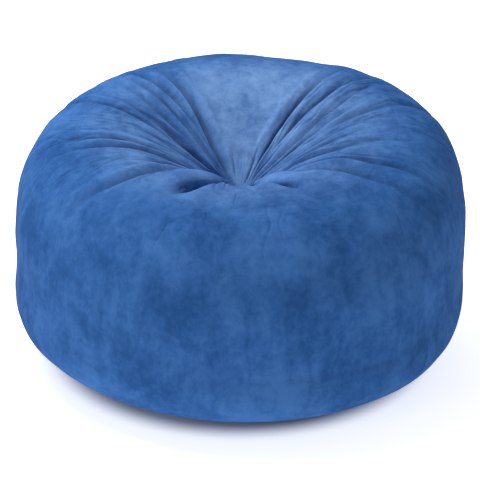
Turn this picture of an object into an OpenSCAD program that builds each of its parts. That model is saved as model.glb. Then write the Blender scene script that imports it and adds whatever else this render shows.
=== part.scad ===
// Round bean bag chair: a zipped suede cover, gathered at the middle of its top, over a zipped
// cotton liner that holds shredded foam.
// +Z is up, the origin is on the floor under the middle of the chair, and the front faces -Y.

/* [Body] */
// Width across the widest part
body_d = 1500; // [1250:10:1800]
// Height of the crest above the floor, half way between its front and its back
crest_h = 768; // [640:2:930]
// Diameter of the ring along the top of the crest
crest_d = 960; // [800:10:1150]
// Diameter of the flat part that rests on the floor
rest_d = 840; // [700:10:1000]
// Height at which the side has become upright
wall_low = 228; // [190:2:275]
// Height, on the axis, at which the side begins to round in to the crest
wall_high = 412; // [370:2:460]
// How far the top leans forward, in degrees
lean = 8; // [4:0.5:9.5]
// How square the lower edge is: 2 is round, 4 is almost a corner
lower_power = 2.3; // [2:0.1:3]
// How square the shoulder is
upper_power = 2.5; // [2:0.1:3]

/* [Seams and gather] */
// Diameter of the seam that joins the top panel to the side
top_seam_d = 1036; // [970:2:1240]
// Height of the gather, at the bottom of the hollow in the top
gather_h = 520; // [440:5:560]
// Diameter of the pinched hole in the middle of the gather
gather_d = 12; // [8:1:30]
// Length of the bunched neck of cloth under the gather
neck_l = 16; // [12:1:24]
// Width of a line of stitches
stitch_w = 1.2; // [0.8:0.1:2]
// Thickness of the thread wound round the neck
neck_thread_t = 2; // [1:0.25:3]

/* [Cloth] */
// Thickness of the suede cover
cover_t = 1.5; // [1:0.1:2.5]
// Thickness of the cotton liner
liner_t = 0.6; // [0.4:0.1:1]
// Space between the cover's outside and the liner's outside, on the sides
liner_depth = 5.2; // [5:0.1:8]
// Space between the liner's outside and the foam, on the sides
foam_depth = 3.4; // [3:0.1:6]
// Air between two layers that lie on each other
layer_gap = 0.4; // [0.3:0.1:1]

/* [Cover zip] */
// Angle that the opening takes round the back
zip_angle = 150; // [110:1:156]
// Height of the middle of the zip, as an angle on the lower edge
zip_at = 27; // [22:1:30]
// Width of one zip tape
tape_w = 15; // [10:0.5:17]
// Thickness of a zip tape
tape_t = 0.7; // [0.5:0.1:1]
// Width of one row of coil
coil_w = 3.2; // [2.5:0.1:4]
// Height of a coil
coil_h = 3; // [2.5:0.1:3.5]
// Bare tape that shows between the coil and the cloth
tape_show = 3; // [2.5:0.1:5]
// Length of the slider
slider_l = 18; // [15:0.5:24]
// Length of the pull
pull_l = 34; // [22:1:40]
// Width of the pull
pull_w = 8; // [6:0.5:10]

/* [Liner zip] */
// Angle that the liner's opening takes round the back
liner_zip_angle = 110; // [80:1:130]
// Height of the liner's zip above the bottom of the upright side
liner_zip_up = 44; // [36:1:72]
// Width of one tape of the liner's zip
liner_tape_w = 11; // [8:0.5:14]
// Width of one row of the liner's coil
liner_coil_w = 2.4; // [2:0.1:3]
// Height of the liner's coil
liner_coil_h = 2.2; // [2:0.1:2.4]
// Length of the liner's slider
liner_slider_l = 13; // [11:0.5:18]

/* [Labels] */
// Width of the cover's care label
care_w = 34; // [25:1:50]
// Angle round the axis at which the care label starts, where 90 is the middle of the back
care_at = 122; // [100:1:140]
// Width of the liner's label
law_w = 70; // [50:1:90]
// Height of the liner's label
law_h = 60; // [40:1:70]
// Space between the liner's zip and its label
law_gap = 12; // [8:1:20]
// Thickness of a label
label_t = 0.3; // [0.2:0.05:0.5]

/* [Hidden] */
$fn = 180;

body_r = body_d / 2;
crest_r = crest_d / 2;
rest_r = rest_d / 2;
gather_r = gather_d / 2;
rise = tan(lean);
// The side is one upright cylinder from wall_low to wall_high, and the level part below meets the
// leaning part above on a leaning plane through this height, clear of both roundings
join_clear = 3;
join_h = wall_low + body_r * rise + join_clear;
// The level part is drawn this far past that plane before it is cut
past_join = body_r * rise + 10;
// Larger than the whole chair, for cutting planes
far = 2 * body_d;

// ---- profile of the skin: a list of [radius, height] from the middle of the base to the gather ----

// A point on the rounded lower edge: 90 degrees is on the floor, 0 is on the upright side
function lower_point(a) = [
    rest_r + (body_r - rest_r) * pow(cos(a), 2 / lower_power),
    wall_low * (1 - pow(sin(a), 2 / lower_power))
];
// A point on the rounded shoulder: 0 degrees is on the upright side, 90 is on the crest
function upper_point(a) = [
    crest_r + (body_r - crest_r) * pow(cos(a), 2 / upper_power),
    wall_high + (crest_h - wall_high) * pow(sin(a), 2 / upper_power)
];
// The angle at which the shoulder has a given radius
function upper_angle(r) = acos(pow((r - crest_r) / (body_r - crest_r), upper_power / 2));
// A point in the hollow: 1 is on the crest and 0 is at the gather
function hollow_point(u) = [
    gather_r + (crest_r - gather_r) * u,
    gather_h + (crest_h - gather_h) * sin(90 * u)
];

// Height of the base seam, and how far the straight stretch at the zip reaches each way, as
// angles on the lower edge
base_seam_at = 53;
zip_spread = 6;
zip_a = lower_point(zip_at + zip_spread);
zip_b = lower_point(zip_at - zip_spread);
zip_along = (zip_b - zip_a) / norm(zip_b - zip_a);
zip_mid = (zip_a + zip_b) / 2;
// Half the slot between the two rows of coil, where the slider's post runs
coil_gap = 0.8;
zip_show = coil_gap + coil_w + tape_show;

base_path = [[0, 0], for (a = [90, 80, 70, 61]) lower_point(a)];
strip_path = [
    lower_point(base_seam_at), lower_point(43), zip_a,
    zip_mid - zip_show * zip_along, zip_mid - stitch_w / 2 * zip_along
];
wall_path = [
    zip_mid + stitch_w / 2 * zip_along, zip_mid + zip_show * zip_along, zip_b,
    lower_point(13), lower_point(6), [body_r, wall_low], [body_r, join_h]
];
seam_angle = upper_angle(top_seam_d / 2);
shoulder_path = [for (i = [0:9]) upper_point(seam_angle * i / 9)];
seam_point = upper_point(seam_angle);
crest_middle = upper_point((seam_angle + 90) / 2);
crest_path = [
    seam_point + stitch_w * unit(crest_middle - seam_point), crest_middle,
    for (i = [8:-1:0]) hollow_point(i / 8)
];
skin = concat(base_path, strip_path, wall_path, shoulder_path, crest_path, [[gather_r, gather_h - neck_l]]);

base_seam_i = len(base_path);
strip_top_i = base_seam_i + len(strip_path) - 1;
strip_show_i = strip_top_i - 1;
wall_start_i = base_seam_i + len(strip_path);
wall_join_i = wall_start_i + len(wall_path) - 1;
seam_i = wall_join_i + len(shoulder_path);
crest_i = seam_i + 1;
neck_i = len(skin) - 1;
// The liner and the foam close across the axis in a small flat dimple, clear of the wound neck
neck_clear = 4;
neck_out_r = gather_r + cover_t + neck_thread_t;
dimple_r = neck_out_r + neck_clear;
dimple_h = gather_h - neck_l - neck_clear;

function unit(v) = v / norm(v);
function left_of(v) = [-v[1], v[0]];
// The step from corner i of the skin to the same corner of a layer one unit deeper
function inward(i) = let(
    here = max(1, min(i, len(skin) - 1)),
    next = max(0, min(i, len(skin) - 2)),
    both = left_of(unit(skin[here] - skin[here - 1])) + left_of(unit(skin[next + 1] - skin[next]))
) 2 * both / (both * both);
// Corners first to last of the layer at one depth under the base and another on the sides
function layer(first, last, base_depth, side_depth) = [
    for (i = [first:last]) skin[i] + inward(i) * (i <= base_seam_i ? base_depth : side_depth)
];
function reversed(list) = [for (i = [len(list) - 1:-1:0]) list[i]];
// The edge of the base panel, one line of stitches short of the seam, at a depth
function base_edge(depth) = let(
    seam = skin[base_seam_i] + inward(base_seam_i) * depth,
    before = skin[base_seam_i - 1] + inward(base_seam_i - 1) * depth
) seam + stitch_w * unit(before - seam);
// The closed outline of a sheet of cloth between two depths
function sheet(first, last, out_base, out_side, in_base, in_side) = concat(
    layer(first, last, out_base, out_side), reversed(layer(first, last, in_base, in_side))
);

// ---- helpers ----

// Leans what stands on the axis, so that its back is higher than its front
module leaning() {
    multmatrix([[1, 0, 0, 0], [0, 1, 0, 0], [0, rise, 1, 0], [0, 0, 0, 1]]) children();
}
// A leaning ring of a given outline, turned as a back half and a front half
module leaning_ring(outline) {
    for (start = [0, 180]) leaning() rotate_extrude(angle = 180, start = start) polygon(outline);
}
// Keeps what is under the leaning plane
module below_join() {
    intersection() {
        children();
        leaning() translate([-far / 2, -far / 2, join_h - far]) cube([far, far, far]);
    }
}
// A level sheet that runs up to the leaning plane, with the leaning sheet above it
module side_sheet(first, out_base, out_side, in_base, in_side) {
    tall = join_h + past_join;
    below_join() rotate_extrude() polygon(concat(
        layer(first, wall_join_i - 1, out_base, out_side),
        [[body_r - out_side, tall], [body_r - in_side, tall]],
        reversed(layer(first, wall_join_i - 1, in_base, in_side))
    ));
    leaning_ring(sheet(wall_join_i, seam_i, out_base, out_side, in_base, in_side));
}
// Everything on one side of the plane through both side seams: 1 is the back, -1 is the front
module half(side, gap) {
    intersection() {
        children();
        translate([-far / 2, side > 0 ? gap : -gap - far, -far / 2]) cube([far, far, far]);
    }
}
// A ring of a given outline round part of the axis, centred on the back
module back_ring(angle, outline) {
    rotate_extrude(angle = angle, start = 90 - angle / 2) polygon(outline);
}
// Outline of a strip that lies in the line of the zip: u runs up the cloth, v runs outward
function zip_box(u0, u1, v0, v1) = let(out = -left_of(zip_along)) [
    zip_mid + u0 * zip_along + v0 * out, zip_mid + u1 * zip_along + v0 * out,
    zip_mid + u1 * zip_along + v1 * out, zip_mid + u0 * zip_along + v1 * out
];
// The same on the liner, whose zip runs round the upright side
liner_r = body_r - liner_depth;
liner_zip_h = wall_low + liner_zip_up;
function liner_box(u0, u1, v0, v1) = [
    [liner_r + v0, liner_zip_h + u0], [liner_r + v1, liner_zip_h + u0],
    [liner_r + v1, liner_zip_h + u1], [liner_r + v0, liner_zip_h + u1]
];
// Stands children on the cover zip: x along the zip, y up the cloth, z outward
module on_zip(angle) {
    tilt = atan2(zip_along[1], -zip_along[0]);
    rotate([0, 0, angle]) translate([zip_mid[0], 0, zip_mid[1]])
        rotate([0, tilt, 0]) rotate([0, 0, 90]) children();
}
module on_liner_zip(angle) {
    rotate([0, 0, angle]) translate([liner_r, 0, liner_zip_h])
        rotate([0, 90, 0]) rotate([0, 0, 90]) children();
}

// What is cut from the cover for its zip
module zip_opening() {
    back_ring(zip_angle, zip_box(-zip_show, zip_show, -2 * cover_t, cover_t));
}

// ---- cover ----

module cover_top() {
    color("royalblue") leaning_ring(sheet(crest_i, neck_i, 0, 0, cover_t, cover_t));
}
module cover_side_front() {
    color("royalblue") half(-1, stitch_w / 2) side_sheet(base_seam_i, 0, 0, cover_t, cover_t);
}
module cover_side_back() {
    color("royalblue") difference() {
        half(1, stitch_w / 2) side_sheet(wall_start_i, 0, 0, cover_t, cover_t);
        zip_opening();
    }
}
// The full width of the strip past the ends of the zip, and a narrower one where the zip shows
module cover_back_strip() {
    past_zip = 90 - zip_angle / 2;
    color("royalblue") half(1, stitch_w / 2) {
        back_ring(zip_angle, sheet(base_seam_i, strip_show_i, 0, 0, cover_t, cover_t));
        for (start = [-past_zip, 180 - past_zip])
            rotate_extrude(angle = 2 * past_zip, start = start)
                polygon(sheet(base_seam_i, strip_top_i, 0, 0, cover_t, cover_t));
    }
}
module cover_base() {
    color("mediumblue") rotate_extrude() polygon(concat(
        layer(0, base_seam_i - 1, 0, 0), [base_edge(0), base_edge(cover_t)],
        reversed(layer(0, base_seam_i - 1, cover_t, cover_t))
    ));
}

// ---- stitches of the cover ----

module thread_base_seam() {
    color("navy") rotate_extrude() polygon([
        base_edge(0), skin[base_seam_i],
        skin[base_seam_i] + inward(base_seam_i) * cover_t, base_edge(cover_t)
    ]);
}
module thread_top_seam() {
    color("navy") leaning_ring(sheet(seam_i, crest_i, 0, 0, cover_t, cover_t));
}
module thread_side_seams() {
    color("navy") intersection() {
        side_sheet(base_seam_i, 0, 0, cover_t, cover_t);
        translate([-far / 2, -stitch_w / 2, -far / 2]) cube([far, stitch_w, far]);
    }
}
module thread_back_seams() {
    color("navy") difference() {
        half(1, stitch_w / 2) rotate_extrude()
            polygon(sheet(strip_top_i, wall_start_i, 0, 0, cover_t, cover_t));
        zip_opening();
    }
}
module thread_gather() {
    color("navy") leaning() translate([0, 0, gather_h - neck_l + 1]) difference() {
        cylinder(h = neck_l / 2, r = neck_out_r);
        translate([0, 0, -1]) cylinder(h = neck_l, r = gather_r + cover_t);
    }
}

// ---- cover zip ----

// One degree of travel along the zip, in millimetres
zip_mm = zip_mid[0] * PI / 180;
// Room between the stops and the ends of the opening, in degrees
stop_clear = 0.3;
stop_l = 4;
// Room between the slider and a stop, at each end of its travel
end_gap = 0.5;
// Tape that runs on past the stops, inside the cover
tape_end = 18;
zip_half = zip_angle / 2 - stop_clear;
slider_end = zip_half - (stop_l + end_gap + slider_l / 2) / zip_mm;
// Where the slider is when the zip is shut; it opens by twice slider_end, in degrees
slider_start = 90 - slider_end;
coil_half = zip_half - stop_l / zip_mm;
tape_half = zip_half + tape_end / zip_mm;

// Outlines of a tape, of a row of coil and of a stop, on the upper side, 1, or the lower one, -1
function tape_box(side) = side > 0
    ? zip_box(coil_gap, coil_gap + tape_w, -cover_t - tape_t, -cover_t)
    : zip_box(-coil_gap - tape_w, -coil_gap, -cover_t - tape_t, -cover_t);
function coil_box(side) = side > 0
    ? zip_box(coil_gap, coil_gap + coil_w, -cover_t, coil_h - cover_t)
    : zip_box(-coil_gap - coil_w, -coil_gap, -cover_t, coil_h - cover_t);

module zip_tape_upper() {
    color("royalblue") back_ring(2 * tape_half, tape_box(1));
}
module zip_tape_lower() {
    color("royalblue") back_ring(2 * tape_half, tape_box(-1));
}
module zip_coil_upper() {
    color("steelblue") back_ring(2 * coil_half, coil_box(1));
}
module zip_coil_lower() {
    color("steelblue") back_ring(2 * coil_half, coil_box(-1));
}
// Two small stops, one on each tape, where the zip is shut
module zip_end_stops() {
    color("silver") for (side = [-1, 1])
        rotate_extrude(angle = stop_l / zip_mm, start = 90 - zip_half) polygon(coil_box(side));
}
// One stop across both rows of coil, where the zip is open
module zip_bottom_stop() {
    color("silver") rotate_extrude(angle = stop_l / zip_mm, start = 90 + zip_half - stop_l / zip_mm)
        polygon(zip_box(-coil_gap - coil_w, coil_gap + coil_w, -cover_t, coil_h - cover_t));
}

// Free space round the coil inside a slider
slide_gap = 0.35;
// How much wider a slider's plate is where the tapes come in, and how far its corners are cut
plate_flare = 1.1;
plate_corner = 2;
// A slider's post stands this far in from its wide end, and its rims start further in
post_in = 0.6;
post_l = 3;
rim_in = 5;
rim_short = 6.5;

// Outline of a slider's plate: wide where the tapes come in, narrow where the shut zip leaves
module plate_shape(length, chain, rim) {
    x = length / 2;
    slim = chain / 2 + slide_gap + rim;
    wide = slim + plate_flare;
    edge = [
        [-x, wide - plate_corner], [-x + plate_corner, wide], [0, slim],
        [x - plate_corner, slim], [x, slim - plate_corner]
    ];
    polygon(concat(edge, [for (i = [len(edge) - 1:-1:0]) [edge[i][0], -edge[i][1]]]));
}
// A slider's two plates, the post between them and the two rims that guide the coil
module slider_body(length, chain, post_half, plate, coil_low, coil_top, tape_low) {
    under = tape_low - slide_gap - plate;
    over = coil_top + slide_gap;
    rim = chain / 2 + slide_gap;
    post_w = 2 * (post_half - slide_gap);
    for (z = [under, over]) translate([0, 0, z]) linear_extrude(plate) plate_shape(length, chain, plate);
    translate([-length / 2 + post_in, -post_w / 2, under + plate / 2]) cube([post_l, post_w, over - under]);
    for (y = [rim, -rim - plate])
        translate([-length / 2 + rim_in, y, coil_low + slide_gap])
            cube([length - rim_short, plate, over - coil_low]);
}

chain_w = 2 * (coil_gap + coil_w);
plate_t = 1.2;
plate_top = coil_h - cover_t + slide_gap + plate_t;
// The pull turns about a pin, held by two lugs that stand on the slider
pin_d = 1.8;
eye_d = 4.6;
eye_w = 5;
pull_clear = 0.4;
pin_h = plate_top + eye_d / 2 + pull_clear;
lug_w = 1.3;
lug_l = 3.6;
lug_gap = 0.3;

module zip_slider() {
    lug_in = eye_w / 2 + lug_gap;
    sunk = plate_t / 4;
    color("silver") on_zip(slider_start) {
        slider_body(slider_l, chain_w, coil_gap, plate_t, -cover_t, coil_h - cover_t, -cover_t - tape_t);
        for (y = [lug_in, -lug_in - lug_w])
            translate([-lug_l / 2, y, plate_top - sunk])
                cube([lug_l, lug_w, pin_h + pin_d - plate_top + sunk]);
        translate([0, lug_in + lug_w / 2, pin_h]) rotate([90, 0, 0])
            cylinder(h = 2 * lug_in + lug_w, d = pin_d, $fn = 48);
    }
}
// The pull hangs straight out from the slider, under its own weight
module zip_pull() {
    arm_t = 1.6;
    hole_d = 3.4;
    pin_gap = 0.3;
    tip = pull_l - pull_w / 2;
    color("silver") on_zip(slider_start) translate([0, 0, pin_h]) difference() {
        union() {
            translate([0, eye_w / 2, 0]) rotate([90, 0, 0]) cylinder(h = eye_w, d = eye_d, $fn = 48);
            translate([-arm_t / 2, -eye_w / 2, pin_d]) cube([arm_t, eye_w, pull_l / 2]);
            translate([-arm_t / 2, -pull_w / 2, pull_l / 3]) cube([arm_t, pull_w, tip - pull_l / 3]);
            translate([-arm_t / 2, 0, tip]) rotate([0, 90, 0]) cylinder(h = arm_t, d = pull_w, $fn = 48);
        }
        translate([0, eye_w, 0]) rotate([90, 0, 0])
            cylinder(h = 2 * eye_w, d = pin_d + 2 * pin_gap, $fn = 48);
        translate([-arm_t, 0, tip]) rotate([0, 90, 0]) cylinder(h = 2 * arm_t, d = hole_d, $fn = 48);
    }
}
module care_label() {
    wide = care_w / skin[base_seam_i][0] * 180 / PI;
    color("white") rotate_extrude(angle = wide, start = care_at)
        polygon(sheet(base_seam_i, base_seam_i + 1, -label_t, -label_t, 0, 0));
}

// ---- liner ----

liner_base_d = cover_t + layer_gap;
liner_in_base = liner_base_d + liner_t;
liner_in_side = liner_depth + liner_t;
// The last corner that the liner and the foam share with the skin, outside the neck
liner_last = neck_i - 2;

module liner_top() {
    color("whitesmoke") leaning_ring(concat(
        layer(crest_i, liner_last, liner_depth, liner_depth),
        [
            [dimple_r, dimple_h], [0, dimple_h],
            [0, dimple_h - liner_t], [dimple_r + liner_t, dimple_h - liner_t]
        ],
        reversed(layer(crest_i, liner_last, liner_in_side, liner_in_side))
    ));
}
module liner_side() {
    color("whitesmoke") difference() {
        side_sheet(base_seam_i, liner_base_d, liner_depth, liner_in_base, liner_in_side);
        back_ring(liner_zip_angle, liner_box(-liner_show, liner_show, -2 * liner_t, liner_t));
    }
}
module liner_base() {
    color("whitesmoke") rotate_extrude() polygon(concat(
        layer(0, base_seam_i - 1, liner_base_d, liner_base_d),
        [base_edge(liner_base_d), base_edge(liner_in_base)],
        reversed(layer(0, base_seam_i - 1, liner_in_base, liner_in_base))
    ));
}
module liner_thread_base() {
    color("lightgray") rotate_extrude() polygon([
        base_edge(liner_base_d), skin[base_seam_i] + inward(base_seam_i) * liner_base_d,
        skin[base_seam_i] + inward(base_seam_i) * liner_in_base, base_edge(liner_in_base)
    ]);
}
module liner_thread_top() {
    color("lightgray") leaning_ring(
        sheet(seam_i, crest_i, liner_depth, liner_depth, liner_in_side, liner_in_side));
}

// ---- liner zip ----

liner_zip_mm = liner_r * PI / 180;
liner_gap = 0.7;
// Bare tape that shows between the liner's coil and its cloth
liner_tape_show = 2.5;
liner_show = liner_gap + liner_coil_w + liner_tape_show;
liner_stop_l = 3;
liner_tape_end = 12;
liner_zip_half = liner_zip_angle / 2 - stop_clear;
liner_slider_end = liner_zip_half - (liner_stop_l + end_gap + liner_slider_l / 2) / liner_zip_mm;
liner_slider_start = 90 - liner_slider_end;
liner_coil_half = liner_zip_half - liner_stop_l / liner_zip_mm;
liner_tape_half = liner_zip_half + liner_tape_end / liner_zip_mm;
liner_tape_t = 0.5;
liner_plate_t = 0.8;

function liner_tape_box(side) = side > 0
    ? liner_box(liner_gap, liner_gap + liner_tape_w, -liner_t - liner_tape_t, -liner_t)
    : liner_box(-liner_gap - liner_tape_w, -liner_gap, -liner_t - liner_tape_t, -liner_t);
function liner_coil_box(side) = side > 0
    ? liner_box(liner_gap, liner_gap + liner_coil_w, -liner_t, liner_coil_h - liner_t)
    : liner_box(-liner_gap - liner_coil_w, -liner_gap, -liner_t, liner_coil_h - liner_t);

module liner_zip_tape_upper() {
    color("white") back_ring(2 * liner_tape_half, liner_tape_box(1));
}
module liner_zip_tape_lower() {
    color("white") back_ring(2 * liner_tape_half, liner_tape_box(-1));
}
module liner_zip_coil_upper() {
    color("white") back_ring(2 * liner_coil_half, liner_coil_box(1));
}
module liner_zip_coil_lower() {
    color("white") back_ring(2 * liner_coil_half, liner_coil_box(-1));
}
module liner_zip_stops() {
    ends = [90 - liner_zip_half, 90 + liner_zip_half - liner_stop_l / liner_zip_mm];
    color("silver") for (start = ends, side = [-1, 1])
        rotate_extrude(angle = liner_stop_l / liner_zip_mm, start = start) polygon(liner_coil_box(side));
}
// A safety slider: it has no pull, and only a paper clip through its eye moves it
module liner_zip_slider() {
    color("silver") on_liner_zip(liner_slider_start)
        slider_body(liner_slider_l, 2 * (liner_gap + liner_coil_w), liner_gap, liner_plate_t,
            -liner_t, liner_coil_h - liner_t, -liner_t - liner_tape_t);
}
module liner_label() {
    wide = law_w / liner_r * 180 / PI;
    low = liner_show + law_gap;
    color("white") rotate_extrude(angle = wide, start = 90 - wide / 2)
        polygon(liner_box(low, low + law_h, 0, label_t));
}

// ---- filling ----

module foam_fill() {
    base_d = liner_in_base + layer_gap;
    side_d = liner_depth + foam_depth;
    tall = join_h + past_join;
    color("lightyellow") {
        below_join() rotate_extrude() polygon(concat(
            layer(0, wall_join_i - 1, base_d, side_d), [[body_r - side_d, tall], [0, tall]]
        ));
        leaning_ring(concat(
            layer(wall_join_i, liner_last, base_d, side_d),
            [[dimple_r + foam_depth, dimple_h - foam_depth], [0, dimple_h - foam_depth], [0, join_h]]
        ));
    }
}

cover_top();
cover_side_front();
cover_side_back();
cover_back_strip();
cover_base();
thread_gather();
thread_top_seam();
thread_side_seams();
thread_back_seams();
thread_base_seam();
zip_tape_upper();
zip_tape_lower();
zip_coil_upper();
zip_coil_lower();
zip_slider();
zip_pull();
zip_end_stops();
zip_bottom_stop();
care_label();
liner_top();
liner_side();
liner_base();
liner_thread_top();
liner_thread_base();
liner_zip_tape_upper();
liner_zip_tape_lower();
liner_zip_coil_upper();
liner_zip_coil_lower();
liner_zip_slider();
liner_zip_stops();
liner_label();
foam_fill();
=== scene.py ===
# %% [markdown]
# # A round bean bag chair
# A big round bag of shredded foam in a zipped cover of blue brushed suede. The cover's top is
# drawn in to one point, so its cloth throws folds that fan out over the crest.
# The CAD frame has already fixed the sizes. This lesson dresses it: cloth, stitches, zips and foam.

# %% Load the frame
import bpy
import bmesh
import math
import numpy as np
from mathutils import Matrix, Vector


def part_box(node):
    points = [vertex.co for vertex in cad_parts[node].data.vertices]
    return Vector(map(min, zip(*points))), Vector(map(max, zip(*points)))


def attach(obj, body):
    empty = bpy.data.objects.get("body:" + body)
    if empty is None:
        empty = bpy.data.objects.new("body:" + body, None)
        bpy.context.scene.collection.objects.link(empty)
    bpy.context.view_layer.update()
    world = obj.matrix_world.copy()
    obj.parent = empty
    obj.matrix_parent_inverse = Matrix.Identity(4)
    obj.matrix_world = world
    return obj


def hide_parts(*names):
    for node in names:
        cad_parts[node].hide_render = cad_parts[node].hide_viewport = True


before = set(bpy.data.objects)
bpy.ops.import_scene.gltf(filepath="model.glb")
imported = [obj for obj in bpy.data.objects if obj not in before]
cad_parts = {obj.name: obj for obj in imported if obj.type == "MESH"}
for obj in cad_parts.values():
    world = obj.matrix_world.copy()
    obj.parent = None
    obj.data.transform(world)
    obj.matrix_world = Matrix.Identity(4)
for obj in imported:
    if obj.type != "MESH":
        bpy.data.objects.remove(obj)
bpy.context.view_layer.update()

# %% [markdown]
# ## The size of the bag
# One half of the bag's cross-section is a curve, the meridian. Its heights and radii are the ones
# the CAD part was drawn from, in metres, and the width comes from the frame itself.

# %% Sizes of the body, in metres
side_low, side_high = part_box("cover_side_front")
BODY_R = (side_high.x - side_low.x) / 2
CREST_H, CREST_R = 0.768, 0.480      # ring along the top of the crest, at the chair's sides
REST_R = 0.420                       # flat part that lies on the floor
WALL_LOW, WALL_HIGH = 0.228, 0.412   # the side is upright between these heights
RISE = math.tan(math.radians(8))     # the top leans forward by this slope
LOWER_POWER, UPPER_POWER = 2.3, 2.5  # how square the lower edge and the shoulder are
TOP_SEAM_R = 0.518
GATHER_H, GATHER_R, NECK_L = 0.520, 0.006, 0.016
ZIP_AT, ZIP_SPREAD, BASE_SEAM_AT = 27, 6, 53
COVER_T, LINER_T, LAYER_GAP = 0.0015, 0.0006, 0.0004
LINER_DEPTH, FOAM_DEPTH = 0.0052, 0.0034
NECK_THREAD_T, NECK_CLEAR = 0.002, 0.004
ZIP_HALF = math.radians(75)
COIL_GAP, COIL_W, COIL_H, TAPE_SHOW = 0.0008, 0.0032, 0.0030, 0.0030
TAPE_W, TAPE_T, TAPE_END, STOP_L = 0.015, 0.0007, 0.018, 0.004
LINER_ZIP_HALF, LINER_ZIP_H = math.radians(55), 0.272
LINER_GAP, LINER_COIL_W, LINER_COIL_H, LINER_TAPE_SHOW = 0.0007, 0.0024, 0.0022, 0.0025
LINER_TAPE_W, LINER_TAPE_T, LINER_TAPE_END, LINER_STOP_L = 0.011, 0.0005, 0.012, 0.003
CARE_AT, CARE_W, LAW_W, LAW_H, LAW_GAP = 122, 0.034, 0.070, 0.060, 0.012
print("width", round(2 * BODY_R, 4), "crest height", CREST_H)

# %% [markdown]
# ## The meridian
# The lower edge and the shoulder are quarter superellipses: a circle's cosine and sine, each raised
# to a power below one, which makes the curve squarer. The hollow is a quarter sine wave.
# Each point also carries a lean weight, 0 below and 1 above, which says how much it leans forward.

# %% Curves of the meridian
def lower_edge(degrees):
    """Radius and height on the lower edge: cosine and sine to the power 2 / LOWER_POWER."""
    a = np.radians(degrees)
    power = 2 / LOWER_POWER
    return np.stack([REST_R + (BODY_R - REST_R) * np.cos(a).clip(0) ** power,
                     WALL_LOW * (1 - np.sin(a).clip(0) ** power)], -1)


def shoulder(degrees):
    """Radius and height on the shoulder: the same superellipse, from the side up to the crest."""
    a = np.radians(degrees)
    power = 2 / UPPER_POWER
    return np.stack([CREST_R + (BODY_R - CREST_R) * np.cos(a).clip(0) ** power,
                     WALL_HIGH + (CREST_H - WALL_HIGH) * np.sin(a).clip(0) ** power], -1)


def hollow(u):
    """Radius and height in the hollow: a straight run inward, and a quarter sine wave down."""
    return np.stack([GATHER_R + (CREST_R - GATHER_R) * u,
                     GATHER_H + (CREST_H - GATHER_H) * np.sin(np.pi / 2 * u)], -1)


def eased(low, high, count):
    """Numbers from low to high that lie closer together at both ends."""
    u = np.linspace(0, 1, count)
    return low + (high - low) * (3 * u ** 2 - 2 * u ** 3)


def straight(a, b, count):
    """Points on the line from a to b, without the last one."""
    return a + (b - a) * np.linspace(0, 1, count, endpoint=False)[:, None]


zip_low, zip_high = lower_edge(ZIP_AT + ZIP_SPREAD), lower_edge(ZIP_AT - ZIP_SPREAD)
stretches = {
    "base": straight(np.array([0.0, 0.0]), np.array([REST_R, 0.0]), 80),
    "edge": lower_edge(eased(90, ZIP_AT + ZIP_SPREAD, 160))[:-1],
    "zip": straight(zip_low, zip_high, 40),
    "turn": lower_edge(eased(ZIP_AT - ZIP_SPREAD, 0, 120))[:-1],
    "wall": straight(np.array([BODY_R, WALL_LOW]), np.array([BODY_R, WALL_HIGH]), 60),
    "shoulder": shoulder(eased(0, 90, 400))[:-1],
    "hollow": hollow(np.linspace(1, 0, 400)),
    "neck": np.array([[GATHER_R, GATHER_H - NECK_L * k / 8] for k in range(1, 9)]),
}
line = np.concatenate(list(stretches.values()))
along = np.concatenate([[0], np.cumsum(np.linalg.norm(np.diff(line, axis=0), axis=1))])
counts = np.cumsum([0] + [len(s) for s in stretches.values()])
starts = {name: along[i] for name, i in zip(stretches, counts)}
lean_weight = np.interp(along, [starts["wall"], starts["shoulder"]], [0, 1])


def along_at(radius, low, high):
    """Distance along the meridian, between two others, at which it has a given radius."""
    pick = (along >= low) & (along <= high)
    order = np.argsort(line[pick, 0])
    return float(np.interp(radius, line[pick, 0][order], along[pick][order]))


T_GATHER, T_NECK, T_CREST = starts["neck"], along[-1], starts["hollow"]
T_BASE_SEAM = along_at(lower_edge(BASE_SEAM_AT)[0], starts["edge"], starts["wall"])
T_ZIP = (starts["zip"] + starts["turn"]) / 2
T_TOP_SEAM = along_at(TOP_SEAM_R, starts["shoulder"], starts["hollow"])
T_LINER_ZIP = starts["wall"] + LINER_ZIP_H - WALL_LOW
print("meridian", round(float(T_NECK), 3), "m; base seam, zip, top seam and crest at",
      [round(float(t), 3) for t in (T_BASE_SEAM, T_ZIP, T_TOP_SEAM, T_CREST)])

# %% [markdown]
# ## The smooth bag
# A point on the bag is an angle round the axis and a distance along the meridian, so the bag is a
# surface of two parameters. Its outward direction is the cross product of the two tangents.

# %% The smooth bag as a surface
def smooth_bag(theta, t):
    """Turns the meridian about the axis, then lifts each point by the lean times its distance back."""
    r, z = np.interp(t, along, line[:, 0]), np.interp(t, along, line[:, 1])
    w = np.interp(t, along, lean_weight)
    x, y = r * np.cos(theta), r * np.sin(theta)
    return np.stack([x, y, z + RISE * w * y], -1)


def directions(theta, t, step=0.004):
    """Unit tangent round the bag, unit tangent along the meridian and outward normal, by differences."""
    up = smooth_bag(theta, t + step) - smooth_bag(theta, np.maximum(t - step, 0))
    y_slope = RISE * np.interp(t, along, lean_weight) * np.cos(theta)
    round_it = np.stack([-np.sin(theta), np.cos(theta), y_slope], -1)
    up /= np.linalg.norm(up, axis=-1, keepdims=True) + 1e-12
    round_it /= np.linalg.norm(round_it, axis=-1, keepdims=True)
    out = np.cross(round_it, up)
    return round_it, up, out / (np.linalg.norm(out, axis=-1, keepdims=True) + 1e-12)


# %% [markdown]
# ## From a grid of points to a mesh
# A piece of cloth is a grid of points. Neighbouring points make the faces, and both edges are
# turned in a few millimetres, as a seam allowance is, so no gap shows in the seam.

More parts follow.
